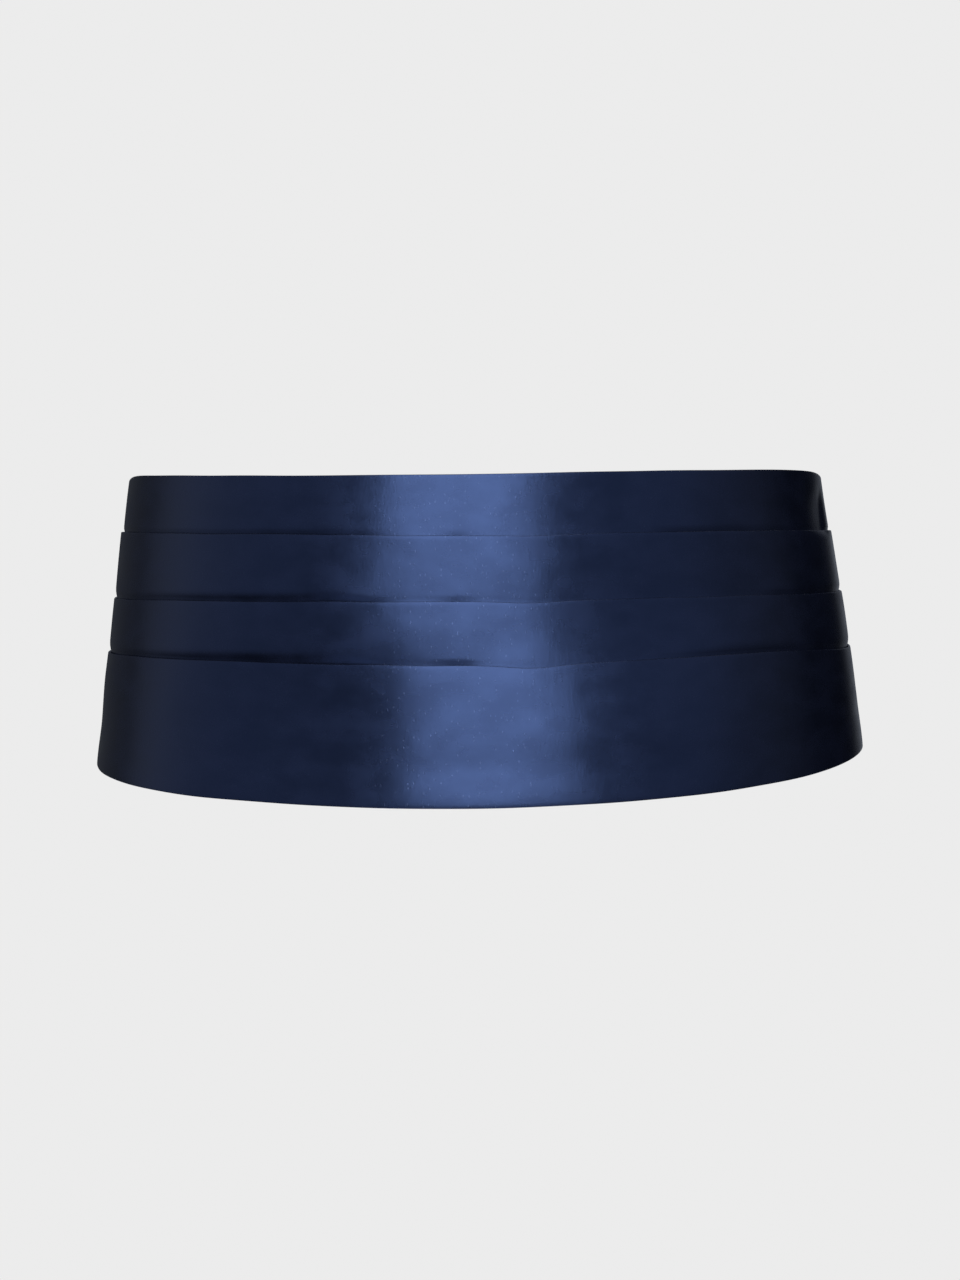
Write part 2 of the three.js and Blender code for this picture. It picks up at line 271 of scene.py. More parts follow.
@dataclass
class NodeBench:
    """Adds nodes to a tree, and joins them."""

    tree: bpy.types.NodeTree

    def add(self, kind: str, settings: dict | None = None, **inputs: object) -> bpy.types.Node:
        """Adds one node.

        Args:
            kind: The node's type name.
            settings: Values for its own properties.
            **inputs: Values or sockets for its inputs, an underscore standing for a space.

        Returns:
            The node.
        """
        node = self.tree.nodes.new(kind)
        for name, value in (settings or {}).items():
            setattr(node, name, value)
        for name, value in inputs.items():
            self.feed(node.inputs[name.replace("_", " ")], value)
        return node

    def feed(self, socket: Socket, value: object) -> None:
        """Links a socket to another one, or sets it.

        Args:
            socket: The socket that is fed.
            value: A socket, a colour or a number.
        """
        if isinstance(value, Socket):
            self.tree.links.new(value, socket)
        else:
            socket.default_value = value

    def math(self, operation: str, first: Socket | float, second: Socket | float) -> Socket:
        """One sum.

        Args:
            operation: The Math node's operation.
            first: A number or a socket.
            second: A number or a socket.

        Returns:
            The result's socket.
        """
        node = self.add("ShaderNodeMath", {"operation": operation})
        self.feed(node.inputs[0], first)
        self.feed(node.inputs[1], second)
        return node.outputs[0]

    def product(self, first: Socket | float, *factors: Socket | float) -> Socket:
        """A product.

        Args:
            first: A number or a socket.
            *factors: More of them.

        Returns:
            The result's socket.
        """
        for factor in factors:
            first = self.math("MULTIPLY", first, factor)
        return first

    def total(self, first: Socket | float, *terms: Socket | float) -> Socket:
        """A total.

        Args:
            first: A number or a socket.
            *terms: More of them.

        Returns:
            The result's socket.
        """
        for term in terms:
            first = self.math("ADD", first, term)
        return first

    def place(self, kind: str = "UV") -> Socket:
        """Where a point lies: its UV place on the flat cloth, or its Object place."""
        return self.add("ShaderNodeTexCoord").outputs[kind]

    def scaled(self, place: Socket, scale: Triple) -> Socket:
        """A place with each of its parts multiplied."""
        node = self.add("ShaderNodeMapping", {"vector_type": "POINT"}, Vector=place, Scale=scale)
        return node.outputs["Vector"]

    def noise(self, place: Socket, grain: Grain) -> Socket:
        """The strength of a grain.

        Args:
            place: The place's socket.
            grain: The grain.

        Returns:
            A socket, from 0 to 1.
        """
        node = self.add(
            "ShaderNodeTexNoise", {"noise_dimensions": "3D"},
            Vector=self.scaled(place, grain.scale), Scale=1.0, Detail=grain.detail,
            Roughness=grain.finer,
        )
        return node.outputs["Fac"]

    def layer(self, place: Socket, grain: Grain) -> Socket:
        """The height of a grain, in metres."""
        return self.product(self.noise(place, grain), grain.height)

    def bands(self, place: Socket, bands: Bands) -> Socket:
        """The strength of bands.

        Args:
            place: The place's socket.
            bands: The bands.

        Returns:
            A socket, from 0 between two bands to 1 on one.
        """
        kind = {"wave_type": "BANDS", "bands_direction": bands.way, "wave_profile": "SIN"}
        node = self.add(
            "ShaderNodeTexWave", kind, Vector=place, Scale=WAVE_PERIOD / bands.pitch,
            Distortion=bands.stray, Detail=bands.detail,
        )
        return node.outputs["Fac"]

    def relief(self, height: Socket, strength: float = 1.0) -> Socket:
        """The normal of a surface with a relief, whose height is in metres."""
        node = self.add("ShaderNodeBump", Strength=strength, Distance=1.0, Height=height)
        return node.outputs["Normal"]

    def spread(
        self, value: Socket, low: float, high: float, to_low: float, to_high: float
    ) -> Socket:
        """A value taken from one range to another, and kept inside it.

        Args:
            value: The socket.
            low: The first range's start.
            high: Its end.
            to_low: The second range's start.
            to_high: Its end.

        Returns:
            The result's socket.
        """
        node = self.add("ShaderNodeMapRange")
        for index, number in enumerate((value, low, high, to_low, to_high)):
            self.feed(node.inputs[index], number)
        return node.outputs["Result"]

    def blend(self, share: Socket, first: Socket | Colour, second: Colour) -> Socket:
        """A mix of two colours.

        Args:
            share: How much of the second.
            first: A colour or a socket.
            second: A colour.

        Returns:
            The colour's socket.
        """
        node = self.add("ShaderNodeMix", {"data_type": "RGBA"})
        self.feed(node.inputs[0], share)
        self.feed(node.inputs[6], first if isinstance(first, Socket) else rgba(first))
        self.feed(node.inputs[7], rgba(second))
        return node.outputs[2]


def new_material(name: str) -> tuple[bpy.types.Material, NodeBench, bpy.types.Node]:
    """A material with a Principled shader.

    Args:
        name: Its name.

    Returns:
        The material, a bench for its tree, and the shader's node.
    """
    material = bpy.data.materials.new(name)
    material.use_nodes = True
    shader = material.node_tree.nodes["Principled BSDF"]
    return material, NodeBench(material.node_tree), shader


def rgba(colour: Colour) -> tuple[float, float, float, float]:
    """A linear colour with full alpha."""
    return (*colour, 1.0)


# ---------------------------------------------------------------- finishes


@dataclass(frozen=True)
class SatinFinish:
    """The right side of a satin, whose gloss takes the thread's colour."""

    name: str
    body: Colour
    body_worn: Colour
    gloss: Colour
    roughness: float
    unevenness: float = 0.045
    gloss_level: float = 0.5
    mottle: Grain = Grain((60.0, 90.0, 1.0), 3.0)
    mottle_range: Pair = (0.35, 0.65)  # the mottle at which the body is as new, and worn
    slubs: Grain = Grain((1300.0, 240.0, 1.0), 1.0, 0.000012)
    grain: Grain = Grain((900.0, 700.0, 1.0), 1.0, 0.000006)
    floats: Grain = Grain((5200.0, 420.0, 1.0), 0.0, 0.000006)
    puckers: Grain = Grain((180.0, 80.0, 1.0), 2.0, 0.000035)
    pill_cell: Pair = (0.0021, 0.0038182)  # in metres, along the cloth and down
    pill_reach: float = 0.13  # a pill's radius, in cells
    pill_chance: Pair = (0.5, 0.95)  # the draws at which a cell has no pill, and a whole one
    pill_height: float = 0.000005
    # Painted glints: specks of this colour lighten the base colour, mostly in the stretch where the highlight
    # falls.
    lint_and_glints: Colour = (0.10, 0.13, 0.21)
    lint_and_glint_share: float = 0.19
    highlight_stretch: Pair = (0.272, 0.316)  # the stretch at the front where the highlight falls, in metres along the cloth; there the lint specks are painted glints
    highlight_reach: float = 0.018
    lint_elsewhere: float = 0.05  # the share of the lint that stays elsewhere

    def build(self) -> bpy.types.Material:
        """Makes the material: slubs, the floats of the weave, pills, lint specks and a soft mottle; the
        specks are painted glints where the highlight falls.

        Returns:
            The material.
        """
        material, bench, shader = new_material(self.name)
        cloth = bench.place()
        pill = self._pills(bench, cloth)
        height = bench.total(
            *(bench.layer(cloth, grain) for grain in (self.slubs, self.grain, self.floats)),
            bench.product(pill, self.pill_height),
            bench.layer(cloth, self.puckers),
        )
        mottle = bench.noise(cloth, self.mottle)
        worn = bench.spread(mottle, *self.mottle_range, 0.0, 1.0)
        body = bench.blend(worn, self.body, self.body_worn)
        # Painted glints: the lint specks lighten the base colour, mostly where the highlight falls.
        lint_and_glints = bench.product(pill, self._glint_stretch(bench, cloth), self.lint_and_glint_share)
        smooth, rough = self.roughness - self.unevenness, self.roughness + self.unevenness
        bench.feed(shader.inputs["Base Color"], bench.blend(lint_and_glints, body, self.lint_and_glints))
        bench.feed(shader.inputs["Roughness"], bench.spread(mottle, *MOST_NOISE, smooth, rough))
        bench.feed(shader.inputs["Normal"], bench.relief(height))
        shader.inputs["Specular IOR Level"].default_value = self.gloss_level
        shader.inputs["Specular Tint"].default_value = rgba(self.gloss)
        return material

    def _glint_stretch(self, bench: NodeBench, cloth: Socket) -> Socket:
        """Where the lint specks show: most in the stretch at the front where the highlight falls, where they
        are painted glints.

        Args:
            bench: The material's bench.
            cloth: The place on the cloth.

        Returns:
            A socket, 1 at the front and little elsewhere.
        """
        along = bench.add("ShaderNodeSeparateXYZ", Vector=cloth).outputs["X"]
        start, end = self.highlight_stretch
        return bench.product(
            bench.spread(along, start - self.highlight_reach, start, self.lint_elsewhere, 1.0),
            bench.spread(along, end, end + self.highlight_reach, 1.0, self.lint_elsewhere),
        )

    def _pills(self, bench: NodeBench, cloth: Socket) -> Socket:
        """Small pills and broken threads, here and there.

        Args:
            bench: The material's bench.
            cloth: The place on the cloth.

        Returns:
            A socket, 1 on a pill and 0 round it.
        """
        along, down = self.pill_cell
        cells = bench.add(
            "ShaderNodeTexVoronoi", {"voronoi_dimensions": "2D", "feature": "F1"},
            Vector=bench.scaled(cloth, (1.0 / along, 1.0 / down, 1.0)), Scale=1.0, Randomness=1.0,
        )
        near = bench.spread(cells.outputs["Distance"], 0.5 * self.pill_reach, self.pill_reach, 1.0, 0.0)
        kept = bench.add("ShaderNodeSeparateColor", Color=cells.outputs["Color"]).outputs["Red"]
        return bench.product(near, bench.spread(kept, *self.pill_chance, 0.0, 1.0))


@dataclass(frozen=True)
class ReverseFinish:
    """The wrong side of the satin: dull, with a faint twill line."""

    name: str = "satin_reverse"
    body: Colour = (0.012, 0.016, 0.039)
    body_worn: Colour = (0.018, 0.024, 0.056)
    roughness: Pair = (0.72, 0.8)
    gloss_level: float = 0.25
    relief: float = 0.8
    mottle: Grain = Grain((140.0, 140.0, 1.0), 4.0)
    twill: Bands = Bands("DIAGONAL", pitch=0.00060774, stray=0.6, detail=2.0, height=0.00004)

    def build(self) -> bpy.types.Material:
        """Makes the material.

        Returns:
            The material.
        """
        material, bench, shader = new_material(self.name)
        cloth = bench.place()
        twill = bench.bands(cloth, self.twill)
        height = bench.product(twill, self.twill.height)
        mottle = bench.noise(cloth, self.mottle)
        colour = bench.blend(bench.product(mottle, twill), self.body, self.body_worn)
        bench.feed(shader.inputs["Base Color"], colour)
        bench.feed(shader.inputs["Roughness"], bench.spread(mottle, *MOST_NOISE, *self.roughness))
        bench.feed(shader.inputs["Normal"], bench.relief(height, self.relief))
        shader.inputs["Specular IOR Level"].default_value = self.gloss_level
        return material


@dataclass(frozen=True)
class StrapFinish:
    """A ribbed satin band, with its ribs across its length."""

    name: str = "strap_band"
    body: Colour = (0.008, 0.011, 0.027)
    body_worn: Colour = (0.014, 0.019, 0.044)
    gloss: Colour = (0.3, 0.42, 0.85)
    roughness: Pair = (0.44, 0.52)
    relief: float = 0.9
    mottle: Grain = Grain((90.0, 120.0, 1.0), 3.0)
    mottle_least: float = 0.4
    fuzz: Grain = Grain((900.0, 900.0, 1.0), 3.0, 0.00003)
    ribs: Bands = Bands("X", pitch=0.0011, stray=0.35, detail=1.0, height=0.00012)

    def build(self) -> bpy.types.Material:
        """Makes the material.

        Returns:
            The material.
        """
        material, bench, shader = new_material(self.name)
        cloth = bench.place()
        ribs = bench.bands(cloth, self.ribs)
        fuzz = bench.noise(cloth, self.fuzz)
        height = bench.total(
            bench.product(ribs, self.ribs.height), bench.product(fuzz, self.fuzz.height)
        )
        mottle = bench.noise(cloth, self.mottle)
        mottle = bench.spread(mottle, *MOST_NOISE, self.mottle_least, 1.0)
        colour = bench.blend(bench.product(mottle, ribs), self.body, self.body_worn)
        bench.feed(shader.inputs["Base Color"], colour)
        bench.feed(shader.inputs["Roughness"], bench.spread(fuzz, *MOST_NOISE, *self.roughness))
        bench.feed(shader.inputs["Normal"], bench.relief(height, self.relief))
        shader.inputs["Specular Tint"].default_value = rgba(self.gloss)
        return material


@dataclass(frozen=True)
class ThreadFinish:
    """Sewing thread, with its twist."""

    name: str = "navy_thread"
    body: Colour = (0.02, 0.028, 0.066)
    body_worn: Colour = (0.034, 0.044, 0.094)
    roughness: Pair = (0.5, 0.6)
    gloss_level: float = 0.4
    twist: Grain = Grain((3000.0, 3000.0, 3000.0), 1.0)

    def build(self) -> bpy.types.Material:
        """Makes the material.

        Returns:
            The material.
        """
        material, bench, shader = new_material(self.name)
        twist = bench.noise(bench.place("Object"), self.twist)
        bench.feed(shader.inputs["Base Color"], bench.blend(twist, self.body, self.body_worn))
        bench.feed(shader.inputs["Roughness"], bench.spread(twist, *MOST_NOISE, *self.roughness))
        shader.inputs["Specular IOR Level"].default_value = self.gloss_level
        return material


@dataclass(frozen=True)
class PlateFinish:
    """Nickel plate: bright, with a faint brushing and the small scratches of use."""

    name: str = "nickel_plate"
    metal: Colour = (0.62, 0.6, 0.57)
    dull: Colour = (0.46, 0.45, 0.43)
    roughness: Pair = (0.2, 0.34)
    brushing: Grain = Grain((400.0, 400.0, 4000.0), 2.0)
    brushing_roughness: float = 0.05
    wear: Grain = Grain((260.0, 260.0, 260.0), 4.0, finer=0.6)
    wear_range: Pair = (0.35, 0.7)  # the wear at which it is smoothest, and roughest
    dull_range: Pair = (0.4, 0.7)  # the wear at which it starts to dull, and is dullest
    dull_share: float = 0.8
    scratches: Grain = Grain((2600.0, 300.0, 500.0), 2.0, 0.000006)
    scratch_range: Pair = (0.3, 0.42)  # the grain at which a scratch is deepest, and ends
    relief: float = 0.5

    def build(self) -> bpy.types.Material:
        """Makes the material.

        Returns:
            The material.
        """
        material, bench, shader = new_material(self.name)
        place = bench.place("Object")
        brushing = bench.noise(place, self.brushing)
        wear = bench.noise(place, self.wear)
        scratches = bench.noise(place, self.scratches)
        scratches = bench.spread(scratches, *self.scratch_range, 0.0, 1.0)
        dulling = bench.spread(wear, *self.dull_range, 0.0, self.dull_share)
        colour = bench.blend(dulling, self.metal, self.dull)
        rough = bench.total(
            bench.spread(wear, *self.wear_range, *self.roughness),
            bench.spread(brushing, *MOST_NOISE, 0.0, self.brushing_roughness),
        )
        normal = bench.relief(bench.product(scratches, self.scratches.height), self.relief)
        bench.feed(shader.inputs["Base Color"], colour)
        bench.feed(shader.inputs["Roughness"], rough)
        bench.feed(shader.inputs["Normal"], normal)
        shader.inputs["Metallic"].default_value = 1.0
        return material


PANEL_SATIN = SatinFinish(
    name="navy_satin",
    body=(0.0014, 0.0019, 0.0044),
    body_worn=(0.0019, 0.0025, 0.0060),
    gloss=(0.17, 0.28, 0.68),
    roughness=0.26,
)


# ---------------------------------------------------------------- meshes


def tube_faces(rings: int, around: int) -> Faces:
    """The faces between closed rings of points that follow each other.

    Args:
        rings: How many rings there are.
        around: How many points each has.

    Returns:
        Four point numbers for each face.
    """
    faces: Faces = []
    for ring in range(rings - 1):
        here, there = ring * around, (ring + 1) * around
        for i in range(around):
            j = (i + 1) % around
            faces.append((here + i, here + j, there + j, there + i))
    return faces


def signed_volume(points: Array, faces: Faces) -> float:
    """The volume inside a closed mesh, below 0 where its faces point inwards.

    Args:
        points: Its points.
        faces: Its faces.

    Returns:
        The volume.
    """
    triangles = [(f[0], f[i], f[i + 1]) for f in faces for i in range(1, len(f) - 1)]
    a, b, c = points[np.array(triangles, int)].transpose(1, 0, 2)
    return float(np.einsum("ij,ij->i", a, np.cross(b, c)).sum() / 6.0)


def new_piece(name: str, mesh: bpy.types.Mesh) -> bpy.types.Object:
    """An object with a mesh, linked to the scene.

    Args:
        name: Its name.
        mesh: Its mesh.

    Returns:
        The object.
    """
    piece = bpy.data.objects.new(name, mesh)
    bpy.context.scene.collection.objects.link(piece)
    return piece


def cloth_piece(
    name: str,
    points: Array,
    faces: Faces,
    cloth_map: Array,
    materials: list[bpy.types.Material],
    face_finish: Array | None = None,
) -> bpy.types.Object:
    """A closed piece of cloth from its points and faces, with its faces turned outwards.

    Args:
        name: The piece's name.
        points: Its points in metres.
        faces: Point numbers, three or more for each face.
        cloth_map: A place on the flat cloth, in metres, for each point.
        materials: Its materials.
        face_finish: The number of each face's material, where there are several.

    Returns:
        The object, linked to the scene.
    """
    mesh = bpy.data.meshes.new(name)
    mesh.from_pydata(points.tolist(), [], faces)
    for material in materials:
        mesh.materials.append(material)
    if face_finish is not None:
        mesh.polygons.foreach_set("material_index", face_finish.astype(np.int32))
    if signed_volume(points, faces) < 0.0:
        mesh.flip_normals()
    corners = np.zeros(len(mesh.loops), np.int32)
    mesh.loops.foreach_get("vertex_index", corners)
    layer = mesh.uv_layers.new(name="cloth")
    layer.data.foreach_set("uv", cloth_map[corners].astype(np.float32).ravel())
    mesh.shade_smooth()
    mesh.set_sharp_from_angle(angle=math.radians(CLOTH_CORNER))
    mesh.validate()
    return new_piece(name, mesh)


def finish_piece(piece: bpy.types.Object, slot: Slot, *nodes: str) -> bpy.types.Object:
    """Fixes a piece to the body.

    Args:
        piece: The finished piece.
        slot: The record's slot; not used.
        *nodes: The solids that it stands for.

    Returns:
        The piece.
    """
    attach(piece, BODY)
    if nodes:
        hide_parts(*nodes)
    return piece


# ---------------------------------------------------------------- the satin panel


def slack(drop: float) -> Swell:
    """The slack place a little right of the middle, where a pleat's edge drops."""
    return Swell(8.0, 5.0, drop)


@dataclass(frozen=True)
class Track:
    """One edge that runs round the panel: the depth that it has at each of the angles."""

    depths: tuple[float, ...]
    waver: Wander
    droops: tuple[Swell, ...] = ()

    ANGLES = (-138.0, -90.0, -45.0, 0.0, 45.0, 90.0, 138.0)

    def at(self, angle: Array) -> Array:
        """The edge's depth.

        Args:
            angle: Degrees round the waist.

        Returns:
            Its depth at each angle.
        """
        angles = np.array(self.ANGLES)
        depths = np.array(self.depths)
        last = len(depths) - 1
        before = np.maximum(np.arange(last + 1) - 1, 0)
        after = np.minimum(np.arange(last + 1) + 1, last)
        slopes = (depths[after] - depths[before]) / (angles[after] - angles[before])
        i = np.clip(np.searchsorted(angles, angle, side="left") - 1, 0, last - 1)
        span = angles[i + 1] - angles[i]
        t = (angle - angles[i]) / span
        curve = t * t * (3.0 - 2.0 * t) * (depths[i + 1] - depths[i])
        lead = t * (1.0 - t) * span * ((1.0 - t) * slopes[i] - t * slopes[i + 1])
        drop = sum(droop.at(angle) for droop in self.droops)
        return depths[i] + curve + lead + drop + self.waver.at(angle)


@dataclass(frozen=True)
class Tier:
    """The face of the cloth between two edges.

    It lies flat on the pleat below from a little left of the middle to the right, and dips
    behind that pleat elsewhere.
    """

    crown: float  # its offset at its upper fold
    neck: float  # its offset at its foot
    flush: float  # the same, where it lies flat
    belly: float  # how far its middle stands out
    dip: Pair = (0.0, 0.0)  # how far above the next fold it dips, on the left and the right
    tuck: float = 0.0  # the share of its flatness that is lost at the tuck
    gap: float = 0.0  # how much further behind the next fold it lies where it dips
    flat_until: Pair = (46.0, 66.0)  # the angles between which it stops being flat

    def bulge(self, share: Array) -> Array:
        """How far the belly stands out, at a share of the way down the tier."""
        return self.belly * 4.0 * share * (1.0 - share)


@dataclass(frozen=True)
class Undulation:
    """The slow unevenness of cloth that hangs free, the same on each run."""

    size: float
    shortest: float
    longest: float
    seed: int
    waves: int = 14
    degree: float = 2.5  # millimetres of cloth for each degree

    def at(self, angle: Array, depth: Array) -> Array:
        """How far it moves the cloth out.

        Args:
            angle: Degrees round the waist.
            depth: Millimetres down.

        Returns:
            Millimetres outwards.
        """
        random = np.random.default_rng(self.seed)
        total = np.zeros(np.broadcast(angle, depth).shape)
        for _ in range(self.waves):
            length = random.uniform(self.shortest, self.longest)
            heading = random.uniform(0.0, math.pi)
            phase = random.uniform(0.0, 2.0 * math.pi)
            way = angle * self.degree * math.cos(heading) + depth * math.sin(heading)
            total += length / self.longest * np.sin(2.0 * math.pi * way / length + phase)
        return self.size * total / math.sqrt(self.waves)


@dataclass(frozen=True)
class Crease:
    """A soft ridge or trough, up and down the cloth, that leans a little."""

    angle: float
    spread: float
    top: float
    bottom: float
    height: float
    lean: float = 0.0  # degrees for each millimetre down
    fade: float = 14.0  # millimetres over which it comes in
    fade_out: float = 14.0
    spread_after: float | None = None  # its spread past its middle, where that differs

    def at(self, angle: Array, depth: Array) -> Array:
        """How far it moves the cloth out.

        Args:
            angle: Degrees round the waist.
            depth: Millimetres down.

        Returns:
            Millimetres outwards.
        """
        middle = self.angle + self.lean * (depth - self.top)
        fade = ease(depth, self.top, self.top + self.fade)
        fade = fade * (1.0 - ease(depth, self.bottom - self.fade_out, self.bottom))
        spread = np.where(angle > middle, self.spread_after or self.spread, self.spread)
        return self.height * fade * bump(angle, middle, spread)


@dataclass
class SatinPanel:
    """The pleated front of the cummerbund.

    Its cloth is laid in rows of points, from the upper turn-in over each pleat to the hem's
    turn-in, with a point in each column round the waist.
    """

    waist: Waist
    name: str = "satin_panel"
    node: str = "front_panel"
    cut: Pair = (0.612, 0.297)  # in metres
    cloth: float = 0.4  # its thickness
    end_angle: float = 138.0
    middle_depth: float = 60.0  # where the length along the cloth is measured
    columns: int = 300
    row_height: float = 1.35
    thinning: int = 3  # rows of a face's right side for each row of its wrong side
    turn_in: float = 12.0
    turn_in_rows: tuple[float, ...] = (1.0, 0.7, 0.45)  # shares of the turn-in
    underlap: float = 23.0  # the hidden length of a pleat at the middle of the front
    pocket_rows: tuple[float, ...] = (0.25, 0.5, 0.75, 0.94)  # shares of that length
    fold_radius: float = 0.52
    fold_reach: float = 0.6  # the height over which a fold's inner side rolls over
    fold_steps: int = 10
    corner: float = 0.3  # and over which its outer side does, which is tighter
    layer_gap: float = 0.12  # between a pleat's two hidden layers
    layer_step: float = 1.18  # from a tier's face in to the first of them
    tucked_in: float = 1.0  # how far a tier's face goes on below the next fold
    sunk_below: float = 0.1  # how far below that fold it is all the way behind
    hem_offset: float = 2.9
    hem_flare: float = 0.5  # how much further out the hem's edge is
    hem_flare_height: Pair = (19.0, 1.0)  # above the hem, where that begins and ends
    flat_from: Pair = (-25.0, -12.0)  # the angles between which the tiers start to be flat
    flat_dip: float = 1.5  # how far above the next fold a flat tier dips
    tuck_angle: float = -2.6
    tuck_spread: Pair = (2.9, 1.6)  # on its left and its right
    # The upper edge, the folds of the three pleats, and the hem.
    tracks: tuple[Track, ...] = (
        Track(
            (4.5, 1.3, 1.2, 0.4, -1.3, -0.2, 3.2), Wander(size=0.12, longest=64.0, seed=1),
            (Swell(-95.0, 12.0, 4.0), Swell(97.0, 15.0, 4.2)),
        ),
        Track(
            (26.0, 25.3, 24.8, 25.0, 23.6, 24.6, 25.0), Wander(size=0.22, longest=52.0, seed=2),
            (slack(0.4),),
        ),
        Track(
            (47.5, 52.9, 52.2, 51.5, 50.0, 49.9, 45.5), Wander(size=0.24, longest=47.0, seed=3),
            (slack(0.7),),
        ),
        Track(
            (69.0, 75.6, 76.4, 77.2, 73.4, 73.2, 67.0), Wander(size=0.24, longest=58.0, seed=4),
            (slack(1.2),),
        ),
        Track(
            (108.0, 122.8, 132.0, 134.4, 126.8, 115.0, 104.0),
            Wander(size=0.15, longest=70.0, seed=5),
        ),
    )
    tiers: tuple[Tier, ...] = (
        Tier(
            crown=2.5, neck=2.3, flush=2.14, belly=0.0, dip=(2.4, 2.4), tuck=0.36, gap=0.4,
            flat_until=(24.0, 36.0),
        ),
        Tier(
            crown=3.3, neck=2.9, flush=2.15, belly=0.06, dip=(4.6, 4.0), tuck=0.2, gap=0.15,
            flat_until=(44.0, 60.0),
        ),
        Tier(
            crown=3.3, neck=3.0, flush=2.26, belly=0.10, dip=(4.8, 4.8), tuck=0.3, gap=0.2,
            flat_until=(24.0, 44.0),
        ),
        Tier(crown=3.4, neck=3.1, flush=3.1, belly=0.3),
    )
    creases: tuple[Crease, ...] = (
        Crease(
            angle=80.4, spread=10.0, spread_after=3.1, top=2.0, bottom=27.0, height=-1.6,
            lean=-0.15, fade_out=4.0,
        ),
        Crease(angle=5.6, spread=3.8, top=70.0, bottom=118.0, height=0.3, fade_out=34.0),
        Crease(angle=-86.0, spread=16.0, top=84.0, bottom=150.0, height=-0.8, fade=24.0),
        Crease(angle=-103.0, spread=3.6, top=6.0, bottom=74.0, height=0.5, lean=0.05),
        Crease(angle=-117.0, spread=4.2, top=40.0, bottom=124.0, height=-0.55, lean=-0.04),
        Crease(angle=110.0, spread=4.0, top=30.0, bottom=118.0, height=0.5, lean=-0.05),
        Crease(angle=124.0, spread=3.4, top=2.0, bottom=60.0, height=-0.45, lean=0.06),
    )
    undulation: Undulation = Undulation(size=0.085, shortest=20.0, longest=62.0, seed=21)
    angles: Array = field(init=False)
    edges: list[Array] = field(init=False)
    rows: list[tuple[Array, Array]] = field(init=False, default_factory=list)
    coarse: list[int] = field(init=False, default_factory=list)

    def __post_init__(self) -> None:
        """Sets the columns' angles, and reads each edge's depth at them."""
        self.angles = np.linspace(-self.end_angle, self.end_angle, self.columns)
        self.edges = [track.at(self.angles) for track in self.tracks]

    def build(self, right_side: bpy.types.Material, wrong_side: bpy.types.Material) -> bpy.types.Object:
        """Makes the panel as one thin closed shell.

        Args:
            right_side: The satin's face.
            wrong_side: Its reverse.

        Returns:
            The piece.
        """
        self._lay_rows()
        path = np.array(self.rows)
        back = self._wrong_side(path)[self.coarse]
        depth, offset = np.concatenate([path, back[::-1]]).transpose(1, 0, 2)
        offset = offset + self.relief(self.angles[None, :], depth)
        points = self.waist.place(self.angles[None, :], depth, offset)
        faces, finish = self._faces(len(path), len(back))
        piece = cloth_piece(
            self.name, points.transpose(1, 0, 2).reshape(-1, 3), faces, self._cloth_map(path),
            [right_side, wrong_side], finish,
        )
        return finish_piece(piece, Slot.SATIN, self.node)

    def relief(self, angle: Array, depth: Array) -> Array:
        """The height of the creases and the unevenness, which all the layers share.

        Args:
            angle: Degrees round the waist.
            depth: Millimetres down.

        Returns:
            Millimetres outwards.
        """
        creases = sum((crease.at(angle, depth) for crease in self.creases), np.zeros_like(depth))
        return creases + self.undulation.at(angle, depth)

    def face_offset(self, tier: int, angle: Array, depth: Array) -> Array:
        """The offset of a tier's face.

        Args:
            tier: Its number from the top, from 0.
            angle: Degrees round the waist.
            depth: Millimetres down.

        Returns:
            Millimetres outwards.
        """
        shape = self.tiers[tier]
        fold, following = self.tracks[tier].at(angle), self.tracks[tier + 1].at(angle)
        share = (depth - fold) / (following - fold)
        neck = shape.neck + (shape.flush - shape.neck) * self._flatness(shape, angle)
        return shape.crown + (neck - shape.crown) * share + shape.bulge(share)

    def _flatness(self, shape: Tier, angle: Array) -> Array:
        """How flat a tier lies on the pleat below it.

        Args:
            shape: The tier.
            angle: Degrees round the waist.

        Returns:
            A share for each angle, 0 where the tier dips behind the pleat and 1 where it is flat.
        """
        flat = ease(angle, *self.flat_from) * (1.0 - ease(angle, *shape.flat_until))
        spread = np.where(angle < self.tuck_angle, *self.tuck_spread)
        return flat * (1.0 - shape.tuck * bump(angle, self.tuck_angle, spread))

    def _underlap(self, tier: int, angle: Array) -> Array:
        """The hidden length of a pleat, in proportion to the height of its tier.

        Args:
            tier: The tier's number from the top, from 0.
            angle: Degrees round the waist.

        Returns:
            Millimetres down from the pleat's fold.
        """
        upper, lower = self.tracks[tier], self.tracks[tier + 1]
        middle = np.zeros(1)
        front = lower.at(middle) - upper.at(middle)
        return self.underlap * (lower.at(angle) - upper.at(angle)) / front

    def _add(self, depth: Array, offset: Array, keep: bool = True) -> None:
        """Adds a row to the right side of the cloth.

        Args:
            depth: Its depth at each column.
            offset: Its offset at each column.
            keep: Whether the wrong side has it too.
        """
        if keep:
            self.coarse.append(len(self.rows))
        self.rows.append((depth, offset))

    def _turn(self, depth: Array, inner: Array, up: float) -> None:
        """Adds the soft roll of a fold, from its inner layer to its outer one or back.

        Args:
            depth: The depth of the fold's edge.
            inner: The offset of its inner layer.
            up: 1 where the fold opens downwards, -1 for the hem.
        """
        crest = 2.0 * self.fold_radius - self.corner
        turns = [math.pi * step / self.fold_steps for step in range(self.fold_steps + 1)]
        for turn in turns if up > 0 else reversed(turns):
            inside = turn < 0.5 * math.pi
            width = crest if inside else self.corner
            reach = self.fold_reach if inside else self.corner
            self._add(
                depth + up * reach * (1.0 - math.sin(turn)),
                inner + crest - width * math.cos(turn),
            )

